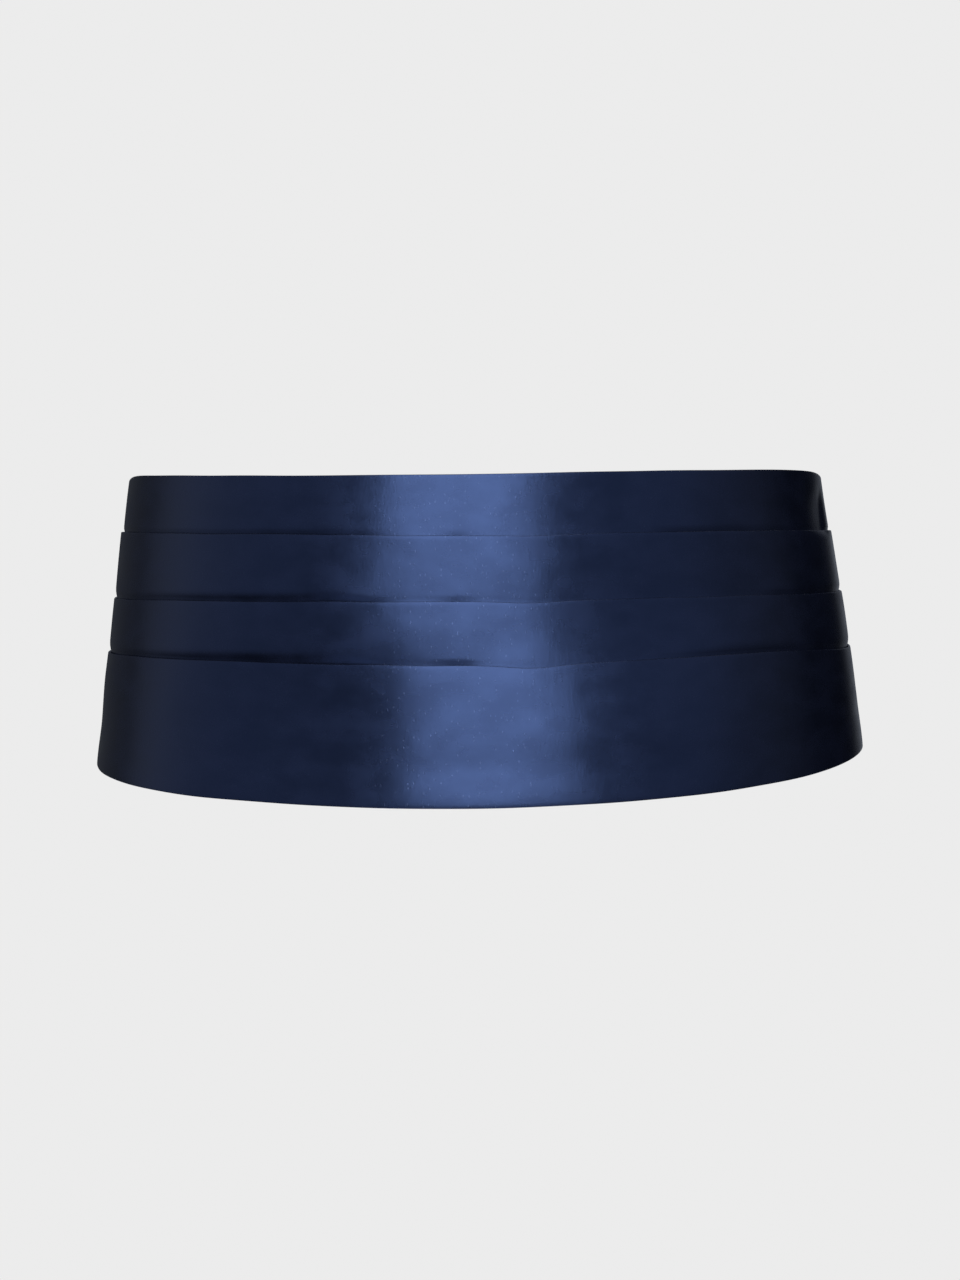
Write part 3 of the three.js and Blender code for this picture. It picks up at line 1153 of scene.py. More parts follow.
    def _lay_rows(self) -> None:
        """Lays the right side of the cloth in rows, from the upper turn-in to the hem's."""
        reach, thick = self.fold_reach, 2.0 * self.fold_radius
        top, hem = self.edges[0], self.edges[-1]
        inner = np.full_like(self.angles, self.tiers[0].crown - thick)
        for share in self.turn_in_rows:
            self._add(top + reach + share * (self.turn_in - reach), inner)
        self._turn(top, inner, 1.0)
        for tier in range(len(self.tiers) - 1):
            self._lay_face(tier)
            self._lay_pocket(tier + 1)
        self._lay_last_face()
        inner = np.full_like(self.angles, self.hem_offset + self.hem_flare - thick)
        self._turn(hem, inner, -1.0)
        for share in reversed(self.turn_in_rows):
            self._add(hem - reach - share * (self.turn_in - reach), inner)

    def _lay_face(self, tier: int) -> None:
        """Lays the visible face of a tier, down to where it goes behind the next fold.

        Args:
            tier: Its number from the top, from 0.
        """
        shape = self.tiers[tier]
        fold, following = self.edges[tier], self.edges[tier + 1]
        flat = self._flatness(shape, self.angles)
        behind = self.tiers[tier + 1].crown - self.layer_step - shape.gap * (1.0 - flat)
        dip = np.where(self.angles < 0.0, *shape.dip)
        dip = dip + (self.flat_dip - dip) * flat
        start, end = fold + self.corner, following + self.tucked_in
        count = int(round(float((end - start).max()) / self.row_height))
        for row in range(1, count + 1):
            depth = start + (end - start) * row / count
            face = self.face_offset(tier, self.angles, depth)
            sink = np.clip((depth - following + dip) / (dip + self.sunk_below), 0.0, 1.0) ** 2
            keep = row % self.thinning == 0 or row == count
            self._add(depth, face + (behind - face) * sink, keep)

    def _lay_pocket(self, tier: int) -> None:
        """Lays a pleat's hidden cloth: down behind its tier, and up again to its fold.

        Args:
            tier: The number of the tier under the pleat's fold, from 0 at the top.
        """
        shape = self.tiers[tier]
        fold = self.edges[tier]
        low = fold + self._underlap(tier, self.angles) - self.cloth
        upper, lower = shape.crown - self.layer_step, shape.neck - self.layer_step
        ones = np.ones_like(fold)
        for share in self.pocket_rows:
            self._add(fold + (low - fold) * share, (upper + (lower - upper) * share) * ones)
        radius = 0.5 * self.layer_gap
        for turn in (0.0, 0.5 * math.pi, math.pi):
            rise = radius * (1.0 - math.cos(turn))
            self._add(low + radius * (math.sin(turn) - 1.0), (lower + rise) * ones)
        for share in reversed(self.pocket_rows):
            level = upper + (lower - upper) * share + self.layer_gap
            self._add(fold + (low - fold) * share, level * ones)
        self._turn(fold, (upper + self.layer_gap) * ones, 1.0)

    def _lay_last_face(self) -> None:
        """Lays the lowest tier's face, from its fold to the hem."""
        fold, hem = self.edges[-2:]
        start, end = fold + self.corner, hem - self.corner
        count = int(round(float((end - start).max()) / self.row_height))
        for row in range(1, count):
            depth = start + (end - start) * row / count
            self._add(depth, self._last_offset(depth), keep=row % self.thinning == 0)

    def _last_offset(self, depth: Array) -> Array:
        """The offset of the lowest tier's face: a bend where its pleat ends, then a slow belly.

        Args:
            depth: Millimetres down, at each column.

        Returns:
            Millimetres outwards.
        """
        shape = self.tiers[-1]
        fold, hem = self.edges[-2:]
        bend = self._underlap(len(self.tiers) - 1, self.angles)
        upper = shape.crown + (shape.neck - shape.crown) * (depth - fold) / bend
        lower = shape.neck + (self.hem_offset - shape.neck) * (depth - fold - bend) / (hem - fold - bend)
        start, end = self.hem_flare_height
        flare = self.hem_flare * ease(depth, hem - start, hem - end)
        belly = shape.bulge((depth - fold) / (hem - fold))
        return np.where(depth - fold > bend, lower, upper) + belly + flare

    def _wrong_side(self, path: Array) -> Array:
        """The wrong side of the cloth, one cloth's thickness inside the right side.

        Args:
            path: The right side's rows, as (row, depth or offset, column).

        Returns:
            The wrong side's rows.
        """
        ahead = np.concatenate([path[1:], path[-1:]])
        behind = np.concatenate([path[:1], path[:-1]])
        along = ahead - behind
        length = np.hypot(along[:, 0], along[:, 1])
        normal = np.stack([along[:, 1] / length, -along[:, 0] / length], axis=1)
        return path + self.cloth * normal

    def _faces(self, rows: int, back_rows: int) -> tuple[Faces, Array]:
        """The shell's faces.

        Args:
            rows: How many rows the right side has.
            back_rows: How many the wrong side has.

        Returns:
            The faces, and the number of the material of each.
        """
        ring = rows + back_rows
        faces = tube_faces(self.columns, ring)
        finish = [0 if i < rows - 1 else 1 for i in range(ring)] * (self.columns - 1)
        last = (self.columns - 1) * ring
        for k, (first, second) in enumerate(zip(self.coarse, self.coarse[1:])):
            loop = [*range(first, second + 1), ring - 2 - k, ring - 1 - k]
            faces.append(tuple(reversed(loop)))
            faces.append(tuple(last + i for i in loop))
            finish += [0, 0]
        return faces, np.array(finish)

    def _cloth_map(self, path: Array) -> Array:
        """Where each point lies on the flat cloth.

        Args:
            path: The right side's rows, as (row, depth or offset, column).

        Returns:
            A place in metres for each point of the shell.
        """
        down = path_lengths(path[:, :, self.columns // 2]) * MM
        down = np.concatenate([down, down[self.coarse][::-1]])
        level = np.full_like(self.angles, self.middle_depth)
        across = path_lengths(self.waist.place(self.angles, level, np.zeros_like(level)))
        return np.stack(np.meshgrid(across, down, indexing="ij"), axis=-1).reshape(-1, 2)


# ---------------------------------------------------------------- the straps


@dataclass(frozen=True)
class Fittings:
    """The sizes that the straps and the metal parts share, as the solids have them."""

    strap_height: float = 38.0
    strap_cloth: float = 1.1  # a strap's thickness
    level: float = -1.85  # the offset of a strap's middle where it lies plain
    metal: float = 1.6  # the metal's thickness
    bar: float = 3.0  # a bar's width
    clearance: float = 0.3
    bar_clearance: float = 0.4
    # The places of the bars along the back.
    hook_bar: float = -16.0
    eye_bar: float = 9.5
    slide_outer: float = -49.5
    slide_middle: float = -40.0
    slide_inner: float = -30.5

    @property
    def bar_offset(self) -> float:
        """The offset of the bars' middle."""
        return self.level + self.strap_cloth / 2 + self.bar_clearance + self.metal / 2

    @property
    def outer_level(self) -> float:
        """The offset of a strap that lies outside a bar."""
        return 2 * self.bar_offset - self.level

    def round_bar(self, along: float, side: float) -> list[Pair]:
        """A half turn round a bar, from outside it to inside it.

        Args:
            along: The bar's place.
            side: 1 or -1, the side of the bar that the strap goes round.

        Returns:
            Path points.
        """
        radius = self.outer_level - self.bar_offset
        reach = (self.bar - self.metal) / 2 + self.clearance
        turns = [math.radians(degrees) for degrees in (90, 54, 18, -18, -54, -90)]
        return [
            (along + side * (reach + radius * math.cos(t)), self.bar_offset + radius * math.sin(t))
            for t in turns
        ]


@dataclass
class Strap:
    """One of the two straps, on edge along a path round the back."""

    waist: Waist
    fittings: Fittings
    side: Side
    step: float = 1.1  # from section to section
    curve_steps: int = 24  # from knot to knot of its path, before the points are spaced evenly
    edge_points: int = 4
    height_points: int = 9
    stitch_inset: float = 2.2
    stitch_lift: float = 0.05
    tack_points: int = 24
    tack_gap: float = 2.0
    tack_pitch: float = 1.2
    tack_from_slide: float = 5.0
    tack_from_eye: float = 14.0

    @property
    def node(self) -> str:
        """The solid that it stands for."""
        return "strap_left" if self.side is Side.LEFT else "strap_right"

    @property
    def length(self) -> float:
        """Its length along its path, in metres."""
        return float(path_lengths(self.centre_line())[-1]) * MM

    def path(self) -> list[Pair]:
        """The strap's path, as places along the back and offsets."""
        return self._adjusting_path() if self.side is Side.LEFT else self._fixed_path()

    def _adjusting_path(self) -> list[Pair]:
        """Through the slide, round the hook's bar and back to the slide's middle bar.

        Returns:
            Path points.
        """
        f = self.fittings
        layer = f.strap_cloth + f.clearance
        over, under = f.outer_level + layer, f.level - layer
        outer, middle, inner = f.slide_outer, f.slide_middle, f.slide_inner
        return [
            *[(s, f.level) for s in (-120.0, -108.0, -96.0, -84.0, -72.0, -60.0)],
            (outer, f.level), (outer + 3, f.level + 0.6),
            (middle - 4, over - 0.5), (middle - 2, over), (middle + 2, over), (middle + 4, over - 0.5),
            (inner - 3, f.level + 0.6), (inner, f.level), (inner + 3, f.level + 0.4),
            (f.hook_bar - 4, f.outer_level - 0.3),
            *f.round_bar(f.hook_bar, 1.0),
            (f.hook_bar - 4, f.level - 0.2), (inner + 3, under), (inner - 4, under),
            *reversed(f.round_bar(middle, -1.0)),
            (middle + 1, f.outer_level),
        ]

    def _fixed_path(self) -> list[Pair]:
        """Out of the panel, round the eye's bar and a short way back.

        Returns:
            Path points.
        """
        f = self.fittings
        return [
            *[(s, f.level) for s in (120.0, 108.0, 96.0, 84.0, 72.0, 60.0, 48.0)],
            (38.0, f.level + 0.8), (28.0, f.outer_level - 0.5), (20.0, f.outer_level),
            *f.round_bar(f.eye_bar, -1.0),
            (20.0, f.level), (28.0, f.level - 0.7),
        ]

    def centre_line(self) -> Array:
        """The path as evenly spaced points on a smooth curve.

        Returns:
            A place along the back and an offset for each point.
        """
        knots = np.array(self.path(), float)
        ends = np.concatenate([[2 * knots[0] - knots[1]], knots, [2 * knots[-1] - knots[-2]]])
        gaps = np.sqrt(np.maximum(np.linalg.norm(np.diff(ends, axis=0), axis=1), 1e-6))
        t = np.linspace(0.0, 1.0, self.curve_steps, endpoint=False)[:, None]
        dense: list[Array] = []
        for i in range(len(knots) - 1):
            p0, p1, p2, p3 = ends[i : i + 4]
            d1, d2, d3 = gaps[i : i + 3]
            m1 = d2 * ((p1 - p0) / d1 - (p2 - p0) / (d1 + d2) + (p2 - p1) / d2)
            m2 = d2 * ((p2 - p1) / d2 - (p3 - p1) / (d2 + d3) + (p3 - p2) / d3)
            dense.append(
                (2 * t**3 - 3 * t**2 + 1) * p1 + (t**3 - 2 * t**2 + t) * m1
                + (-2 * t**3 + 3 * t**2) * p2 + (t**3 - t**2) * m2
            )
        line = np.concatenate([*dense, knots[-1:]])
        length = path_lengths(line)
        wanted = np.linspace(0.0, length[-1], int(length[-1] / self.step))
        return np.stack([np.interp(wanted, length, line[:, k]) for k in (0, 1)], axis=1)

    def _outward(self, line: Array) -> Array:
        """The way out of the band's outer face.

        Args:
            line: The strap's centre line.

        Returns:
            A direction of length 1 for each of its points.
        """
        along = np.gradient(line, axis=0)
        along /= np.linalg.norm(along, axis=1)[:, None]
        return np.stack([-along[:, 1], along[:, 0]], axis=1) * -self.side.value

    def edge_rows(self) -> list[Array]:
        """The lines of the stitches along both edges, on both faces of the band.

        Returns:
            Points in metres, for each line.
        """
        line = self.centre_line()
        rise = 0.5 * self.fittings.strap_cloth + self.stitch_lift
        tall = 0.5 * self.fittings.strap_height - self.stitch_inset
        rows = []
        for face in (-1.0, 1.0):
            along, offset = (line + face * rise * self._outward(line)).T
            for height in (-tall, tall):
                rows.append(self.waist.place_back(along, offset, np.full_like(along, height)))
        return rows

    def tacks(self) -> list[Array]:
        """The lines of the close stitches that hold the folded end, across the band.

        Returns:
            Points in metres, for each line.
        """
        f = self.fittings
        if self.side is Side.LEFT:
            start = f.slide_middle + self.tack_from_slide
            level, face = f.level - f.strap_cloth - f.clearance, -1.0
        else:
            start = f.eye_bar + self.tack_from_eye
            level, face = f.outer_level, 1.0
        line = self.centre_line()
        rise = face * (0.5 * f.strap_cloth + self.stitch_lift)
        tall = 0.5 * f.strap_height - self.stitch_inset
        heights = np.linspace(-tall, tall, self.tack_points)
        rows = []
        for along in (start, start + self.tack_gap):
            nearest = int(np.argmin(np.linalg.norm(line - (along, level), axis=1)))
            place = line[nearest] + rise * self._outward(line)[nearest]
            rows.append(self.waist.place_back(*np.broadcast_arrays(*place, heights)))
        return rows

    def section(self) -> Array:
        """The strap's section, a flat band with rounded edges.

        Returns:
            Points round it, as (across, height).
        """
        half, tall = self.fittings.strap_cloth / 2, self.fittings.strap_height / 2
        heights = np.linspace(-tall + half, tall - half, self.height_points)
        turns = np.linspace(0.0, math.pi, self.edge_points + 2)[1:-1]
        outer = [(half, h) for h in heights]
        top = [(half * math.cos(t), tall - half + half * math.sin(t)) for t in turns]
        return np.array([*outer, *top, *[(-x, -h) for x, h in (*outer, *top)]])

    def build(self, finish: bpy.types.Material) -> bpy.types.Object:
        """Makes the strap.

        Args:
            finish: Its material.

        Returns:
            The piece.
        """
        line, section = self.centre_line(), self.section()
        place = line[:, None, :] + section[None, :, :1] * self._outward(line)[:, None, :]
        height = np.broadcast_to(section[None, :, 1], place.shape[:2])
        points = self.waist.place_back(place[..., 0], place[..., 1], height)
        rings, count = height.shape
        faces = tube_faces(rings, count)
        faces.append(tuple(reversed(range(count))))
        faces.append(tuple(range((rings - 1) * count, rings * count)))
        length = path_lengths(line)
        grid = np.stack([np.broadcast_to(length[:, None], height.shape), height], axis=-1) * MM
        piece = cloth_piece(self.node + "_band", points.reshape(-1, 3), faces, grid.reshape(-1, 2), [finish])
        LOG.info("%s is %.0f mm long", piece.name, length[-1])
        return finish_piece(piece, Slot.STRAP, self.node)


# ---------------------------------------------------------------- the metal parts


@dataclass
class MetalPart:
    """A stamped and plated part, from its solid, with its edges rounded."""

    node: str
    rounding: float = 0.0004  # in metres
    segments: int = 3
    flat: float = 3.0  # the corner up to which two faces are one
    sharp: float = 30.0  # the corner past which an edge is rounded
    sharp_after: float = 40.0  # and past which it looks sharp once it is

    def build(self, finish: bpy.types.Material) -> bpy.types.Object:
        """Makes the part.

        Args:
            finish: Its material.

        Returns:
            The piece.
        """
        work = bmesh.new()
        work.from_mesh(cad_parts[self.node].data)
        bmesh.ops.remove_doubles(work, verts=work.verts, dist=1e-6)
        bmesh.ops.dissolve_limit(
            work, angle_limit=math.radians(self.flat), verts=work.verts, edges=work.edges
        )
        limit = math.radians(self.sharp)
        edges = [e for e in work.edges if len(e.link_faces) == 2 and e.calc_face_angle() > limit]
        bmesh.ops.bevel(
            work, geom=edges, offset=self.rounding, offset_type="OFFSET", segments=self.segments,
            profile=0.5, affect="EDGES", clamp_overlap=True,
        )
        bmesh.ops.recalc_face_normals(work, faces=work.faces)
        mesh = bpy.data.meshes.new(self.node + "_plate")
        work.to_mesh(mesh)
        work.free()
        mesh.materials.clear()
        mesh.materials.append(finish)
        mesh.shade_smooth()
        mesh.set_sharp_from_angle(angle=math.radians(self.sharp_after))
        return finish_piece(new_piece(mesh.name, mesh), Slot.STEEL, self.node)


# ---------------------------------------------------------------- sewing


@dataclass
class Sewing:
    """Rows of stitches, laid along lines by one Geometry Nodes tree."""

    thread: bpy.types.Material
    pitch: float = 2.7  # from stitch to stitch
    stitch: float = 1.9  # a stitch's length
    thickness: float = 0.36
    unevenness: float = 0.08  # as a share of a stitch's size
    seed: int = 11
    bead_segments: int = 6
    bead_rings: int = 5
    tree: bpy.types.GeometryNodeTree = field(init=False)

    def __post_init__(self) -> None:
        """Makes the tree that all the rows share."""
        self.tree = bpy.data.node_groups.new("stitch_rows", "GeometryNodeTree")
        self.tree.is_modifier = True
        self._inputs()
        self._stitches()

    def _inputs(self) -> None:
        """Gives the tree its sizes as named inputs."""
        face = self.tree.interface
        face.new_socket("Geometry", in_out="INPUT", socket_type="NodeSocketGeometry")
        sizes = {
            "Pitch": self.pitch * MM, "Stitch": self.stitch * MM,
            "Thread": self.thickness * MM, "Unevenness": self.unevenness,
        }
        for label, value in sizes.items():
            socket = face.new_socket(label, in_out="INPUT", socket_type="NodeSocketFloat")
            socket.default_value = value
        face.new_socket("Seed", in_out="INPUT", socket_type="NodeSocketInt").default_value = self.seed
        face.new_socket("Geometry", in_out="OUTPUT", socket_type="NodeSocketGeometry")

    def _stitches(self) -> None:
        """Puts a stitch of thread at each step of a line, turned along it."""
        bench = NodeBench(self.tree)
        given = bench.add("NodeGroupInput").outputs
        curve = bench.add("GeometryNodeMeshToCurve", Mesh=given["Geometry"])
        steps = bench.add(
            "GeometryNodeCurveToPoints", {"mode": "LENGTH"},
            Curve=curve.outputs["Curve"], Length=given["Pitch"],
        )
        bead = bench.add(
            "GeometryNodeMeshUVSphere",
            Segments=self.bead_segments, Rings=self.bead_rings, Radius=0.5,
        )
        size = bench.add("ShaderNodeCombineXYZ", X=given["Thread"], Y=given["Thread"], Z=given["Stitch"])
        shape = bench.add(
            "GeometryNodeTransform", Geometry=bead.outputs["Mesh"], Scale=size.outputs["Vector"]
        )
        turn = bench.add(
            "FunctionNodeAlignRotationToVector", {"axis": "Z"}, Vector=steps.outputs["Tangent"]
        )
        place = bench.add(
            "GeometryNodeInstanceOnPoints", Points=steps.outputs["Points"],
            Instance=shape.outputs["Geometry"], Rotation=turn.outputs["Rotation"],
            Scale=self._uneven(bench, given),
        )
        real = bench.add("GeometryNodeRealizeInstances", Geometry=place.outputs["Instances"])
        dress = bench.add(
            "GeometryNodeSetMaterial", Geometry=real.outputs["Geometry"], Material=self.thread
        )
        bench.add("NodeGroupOutput", Geometry=dress.outputs["Geometry"])

    def _uneven(self, bench: NodeBench, given: bpy.types.NodeOutputs) -> Socket:
        """A size for each stitch, near 1.

        Args:
            bench: The tree's bench.
            given: The tree's inputs.

        Returns:
            A socket.
        """
        random = bench.add("FunctionNodeRandomValue", {"data_type": "FLOAT"}, Seed=given["Seed"])
        least, most = [s for s in random.inputs if s.type == "VALUE" and s.name in ("Min", "Max")]
        bench.feed(least, bench.math("SUBTRACT", 1.0, given["Unevenness"]))
        bench.feed(most, bench.math("ADD", 1.0, given["Unevenness"]))
        return next(s for s in random.outputs if s.type == "VALUE")

    def sew(
        self, name: str, lines: list[Array], slot: Slot, pitch: float | None = None
    ) -> bpy.types.Object:
        """Sews stitches along lines.

        Args:
            name: The piece's name.
            lines: Points in metres, for each line.
            slot: The record's slot, handed on to finish_piece.
            pitch: The distance from stitch to stitch, where it isn't the usual one.

        Returns:
            The piece.
        """
        guide = bpy.data.meshes.new(name + "_guide")
        edges: list[tuple[int, int]] = []
        start = 0
        for line in lines:
            edges += [(start + i, start + i + 1) for i in range(len(line) - 1)]
            start += len(line)
        guide.from_pydata(np.concatenate(lines).tolist(), edges, [])
        holder = new_piece(guide.name, guide)
        modifier = holder.modifiers.new("stitches", "NODES")
        modifier.node_group = self.tree
        if pitch is not None:
            names = {item.name: item.identifier for item in self.tree.interface.items_tree}
            modifier[names["Pitch"]] = pitch * MM
        depsgraph = bpy.context.evaluated_depsgraph_get()
        mesh = bpy.data.meshes.new_from_object(holder.evaluated_get(depsgraph))
        holder.modifiers.remove(modifier)
        bpy.data.objects.remove(holder)
        mesh.name = name
        mesh.shade_smooth()
        return finish_piece(new_piece(name, mesh), slot)


@dataclass
class PanelSewing:
    """The rows of stitches on the panel: down its ends, and along its turned-in edges."""

    panel: SatinPanel
    end_inset: float = 1.6
    lift: float = 0.1
    tier_points: int = 24
    tier_head: float = 1.6
    tier_foot: float = 1.4
    turn_in_points: int = 560
    turn_in_inset: float = 2.0
    turn_in_pitch: float = 6.0

    def end_rows(self) -> list[Array]:
        """A row down each end of the panel, on the face of each tier.

        Returns:
            Points in metres, for each line.
        """
        end = self.panel.end_angle - self.end_inset
        tiers = range(len(self.panel.tiers))
        return [self._down_tier(angle, tier) for angle in (-end, end) for tier in tiers]

    def turn_in_rows(self) -> list[Array]:
        """A row along the edge of the turned-in cloth, inside the panel's top and its hem.

        Returns:
            Points in metres, for each line.
        """
        panel = self.panel
        end = panel.end_angle - self.end_inset
        at = np.linspace(-end, end, self.turn_in_points)
        inset = panel.turn_in - self.turn_in_inset
        thick = 2.0 * panel.fold_radius + self.lift
        rows = []
        for depth, offset in (
            (panel.tracks[0].at(at) + inset, panel.tiers[0].crown - thick),
            (panel.tracks[-1].at(at) - inset, panel.hem_offset + panel.hem_flare - thick),
        ):
            rows.append(panel.waist.place(at, depth, offset + panel.relief(at, depth)))
        return rows

    def _down_tier(self, angle: float, tier: int) -> Array:
        """Points down a tier's face.

        Args:
            angle: Degrees round the waist.
            tier: The tier's number from the top, from 0.

        Returns:
            The points in metres.
        """
        at = np.full(self.tier_points, angle)
        upper, lower = (track.at(at) for track in self.panel.tracks[tier : tier + 2])
        share = np.linspace(0.0, 1.0, self.tier_points)
        depth = upper + self.tier_head + share * (lower - upper - self.tier_head - self.tier_foot)
        offset = self.panel.face_offset(tier, at, depth) + self.lift
        return self.panel.waist.place(at, depth, offset + self.panel.relief(at, depth))


# ---------------------------------------------------------------- the studio


class Axis(Enum):
    """A direction of the surround: across towards +X, away from the camera, or up."""

    ACROSS = "X"
    AWAY = "Y"
    UP = "Z"


@dataclass(frozen=True)
class Fade:
    """A change of the surround's light along an axis, from start to end."""

    axis: Axis
    start: float
    end: float
    light_at_start: float
    light_at_end: float


@dataclass(frozen=True)
class Surround:
    """An even backdrop for the camera, and for the object a soft surround.

    Each part of it is as light as the product of its fades.
    """

    backdrop: float
    tint: Colour = (0.8, 0.87, 1.0)
    left: tuple[Fade, ...] = (
        Fade(Axis.ACROSS, -0.25, -0.75, 0.0, 1.0),
        Fade(Axis.AWAY, 0.45, 0.0, 0.0, 0.78),
    )
    left_behind: tuple[Fade, ...] = (
        Fade(Axis.ACROSS, -0.05, -0.25, 0.0, 1.0),
        Fade(Axis.AWAY, 0.95, 0.5, 0.07, 0.11),
    )
    right: tuple[Fade, ...] = (
        Fade(Axis.ACROSS, 0.15, 0.4, 0.0, 0.84),
        Fade(Axis.ACROSS, 0.78, 0.97, 1.0, 0.34),
        Fade(Axis.UP, -0.1, 0.16, 0.85, 1.25),
        Fade(Axis.AWAY, 0.25, -0.15, 0.0, 1.0),
    )
    right_behind: tuple[Fade, ...] = (
        Fade(Axis.ACROSS, -0.15, 0.0, 0.0, 1.0),
        Fade(Axis.AWAY, 0.8, 0.96, 0.0, 0.28),
    )
    sides_by_height: tuple[Fade, ...] = (
        Fade(Axis.UP, -0.36, -0.08, 0.0, 1.0),
        Fade(Axis.UP, 0.5, 0.85, 1.0, 0.15),
    )
    overhead: tuple[Fade, ...] = (Fade(Axis.UP, 0.5, 0.95, 0.008, 0.12),)
    bounce_behind: tuple[Fade, ...] = (
        Fade(Axis.AWAY, 0.15, 0.75, 0.0, 1.0),
        Fade(Axis.UP, -0.25, -0.42, 0.0, 1.0),
        Fade(Axis.AWAY, 0.75, 0.85, 0.9, 3.2),
    )
    bounce_before: tuple[Fade, ...] = (
        Fade(Axis.ACROSS, -0.54, -0.38, 0.0, 1.0),
        Fade(Axis.ACROSS, 0.2, 0.36, 1.0, 0.0),
        Fade(Axis.AWAY, -0.1, -0.4, 0.0, 1.0),
        Fade(Axis.UP, -0.12, -0.3, 0.0, 3.7),
    )

    def build(self) -> None:
        """Makes the world."""
        world = bpy.data.worlds.new("studio")
        world.use_nodes = True
        bpy.context.scene.world = world
        bench = NodeBench(world.node_tree)
        shown = bench.add("ShaderNodeLightPath").outputs["Is Camera Ray"]
        where = bench.add("ShaderNodeSeparateXYZ", Vector=bench.place("Generated"))

        sides = bench.product(
            bench.total(
                self._light(bench, where, self.left),
                self._light(bench, where, self.left_behind),
                self._light(bench, where, self.right),
                self._light(bench, where, self.right_behind),
            ),
            self._light(bench, where, self.sides_by_height),
        )
        level = bench.total(
            sides,
            self._light(bench, where, self.overhead),
            self._light(bench, where, self.bounce_behind),
            self._light(bench, where, self.bounce_before),
        )
        unseen = bench.product(bench.math("SUBTRACT", 1.0, shown), level)
        background = world.node_tree.nodes["Background"]
        bench.feed(background.inputs["Color"], bench.blend(shown, self.tint, (1.0, 1.0, 1.0)))
        bench.feed(
            background.inputs["Strength"], bench.total(bench.product(shown, self.backdrop), unseen)
        )

    def _light(self, bench: NodeBench, where: bpy.types.Node, fades: tuple[Fade, ...]) -> Socket:
        """The light of one part of the surround.

        Args:
            bench: The world's bench.
            where: The node that splits a direction into its axes.
            fades: The part's fades.

        Returns:
            A socket, the product of the fades.
        """
        lights = (
            bench.spread(
                where.outputs[fade.axis.value], fade.start, fade.end,
                fade.light_at_start, fade.light_at_end,
            )
            for fade in fades
        )
        return bench.product(*lights)


@dataclass(frozen=True)
class Softbox:
    """A soft light that is aimed at the object, from degrees round it and up, and metres away."""

    name: str
    azimuth: float
    elevation: float
    distance: float
    size: Pair
    watts: float
    mirrored: bool = True

    def build(self) -> None:
        """Makes the light."""
        data = bpy.data.lights.new(self.name, "AREA")
        data.shape = "RECTANGLE"
        data.size, data.size_y = self.size
        data.energy = self.watts
        light = bpy.data.objects.new(self.name, data)
        turn, rise = math.radians(self.azimuth), math.radians(self.elevation)
        light.location = (
            self.distance * math.sin(turn) * math.cos(rise),
            -self.distance * math.cos(turn) * math.cos(rise),
            self.distance * math.sin(rise),
        )
        light.rotation_euler = (0.5 * math.pi - rise, 0.0, turn)
        light.visible_camera = False
        light.visible_glossy = self.mirrored
        bpy.context.scene.collection.objects.link(light)


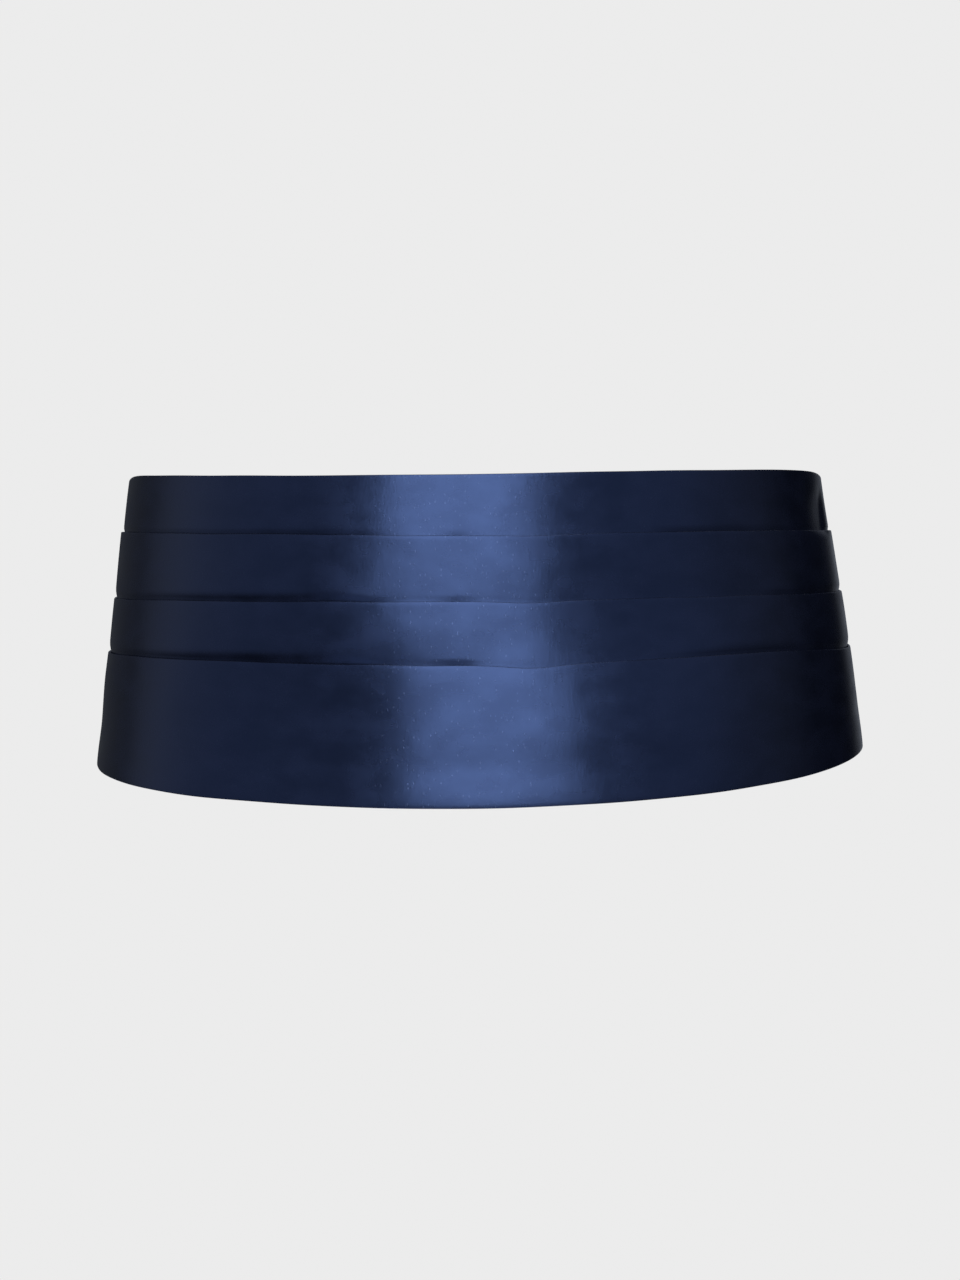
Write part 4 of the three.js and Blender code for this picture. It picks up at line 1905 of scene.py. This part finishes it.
@dataclass(frozen=True)
class Studio:
    """The pale floor, the even backdrop, the soft lights and the camera."""

    backdrop: float = 0.838
    camera_place: Triple = (0.0, -1.909, 0.0571)
    camera_down: float = 2.23
    lens: float = 126.3
    sensor: float = 36.0
    clip: Pair = (0.05, 60.0)
    floor_height: float = -1.2
    floor_half: float = 14.0
    floor_grey: float = 0.35
    softboxes: tuple[Softbox, ...] = (
        Softbox("key_softbox", -4.1, 18.5, 3.2, (2.02, 2.4), 198.0),
        Softbox("upper_softbox", -4.1, 62.0, 3.2, (2.02, 1.6), 93.0),
        Softbox("back_softbox", 180.0, 62.0, 2.6, (2.6, 1.4), 20.0),
        Softbox("back_fill", 180.0, 35.0, 2.6, (2.6, 1.8), 170.0, mirrored=False),
    )

    def build(self) -> None:
        """Makes the whole studio."""
        self._camera()
        Surround(self.backdrop).build()
        self._floor()
        for softbox in self.softboxes:
            softbox.build()
        bpy.context.scene.view_settings.view_transform = "Standard"

    def _camera(self) -> None:
        """The camera, a little above the upper edge, looking slightly down."""
        data = bpy.data.cameras.new("camera")
        data.lens, data.sensor_width = self.lens, self.sensor
        data.clip_start, data.clip_end = self.clip
        camera = bpy.data.objects.new("camera", data)
        camera.location = self.camera_place
        camera.rotation_euler = (math.radians(90.0 - self.camera_down), 0.0, 0.0)
        bpy.context.scene.collection.objects.link(camera)
        bpy.context.scene.camera = camera

    def _floor(self) -> None:
        """A plain pale floor, far below, as bright to the camera as the backdrop."""
        half, height = self.floor_half, self.floor_height
        mesh = bpy.data.meshes.new("floor")
        corners = [(-half, -half, height), (half, -half, height), (half, half, height), (-half, half, height)]
        mesh.from_pydata(corners, [], [(0, 1, 2, 3)])
        material, bench, shader = new_material("pale_floor")
        shader.inputs["Base Color"].default_value = rgba((self.floor_grey,) * 3)
        shader.inputs["Roughness"].default_value = 1.0
        glow = bench.add("ShaderNodeEmission", Color=rgba((1.0, 1.0, 1.0)), Strength=self.backdrop)
        mix = bench.add("ShaderNodeMixShader")
        shown = bench.add("ShaderNodeLightPath").outputs["Is Camera Ray"]
        for index, socket in enumerate((shown, shader.outputs["BSDF"], glow.outputs["Emission"])):
            bench.feed(mix.inputs[index], socket)
        output = material.node_tree.nodes["Material Output"]
        bench.feed(output.inputs["Surface"], mix.outputs["Shader"])
        mesh.materials.append(material)
        floor = new_piece("floor", mesh)
        floor.visible_diffuse = floor.visible_glossy = False


# ---------------------------------------------------------------- making it all


def report(*pieces: bpy.types.Object) -> None:
    """Logs the pieces' names and how many faces each has."""
    for piece in pieces:
        LOG.info("%s: %d faces", piece.name, len(piece.data.polygons))


def main() -> None:
    """Builds the studio and each piece in order."""
    logging.basicConfig(level=logging.INFO, format="%(name)s: %(message)s")
    waist, fittings = Waist(), Fittings()
    Studio().build()
    LOG.info("studio built")

    panel = SatinPanel(waist)
    panel_piece = panel.build(PANEL_SATIN.build(), ReverseFinish().build())
    band = StrapFinish().build()
    straps = [Strap(waist, fittings, side) for side in Side]
    strap_pieces = [strap.build(band) for strap in straps]
    plate = PlateFinish().build()
    report(panel_piece, *strap_pieces)
    report(*(MetalPart(node).build(plate) for node in ("slide", "hook", "eye")))

    sewing = Sewing(ThreadFinish().build())
    rows = PanelSewing(panel)
    ends = sewing.sew("panel_end_stitches", rows.end_rows(), Slot.SATIN)
    picks = sewing.sew("panel_pick_stitches", rows.turn_in_rows(), Slot.SATIN, rows.turn_in_pitch)
    report(ends, picks)

    for strap, piece in zip(straps, strap_pieces):
        edges = sewing.sew(strap.node + "_stitches", strap.edge_rows(), Slot.STRAP)
        tacks = sewing.sew(strap.node + "_tacks", strap.tacks(), Slot.STRAP, strap.tack_pitch)
        report(edges, tacks)
        flat = (fittings.strap_height * MM, strap.length)


if __name__ == "__main__":
    main()
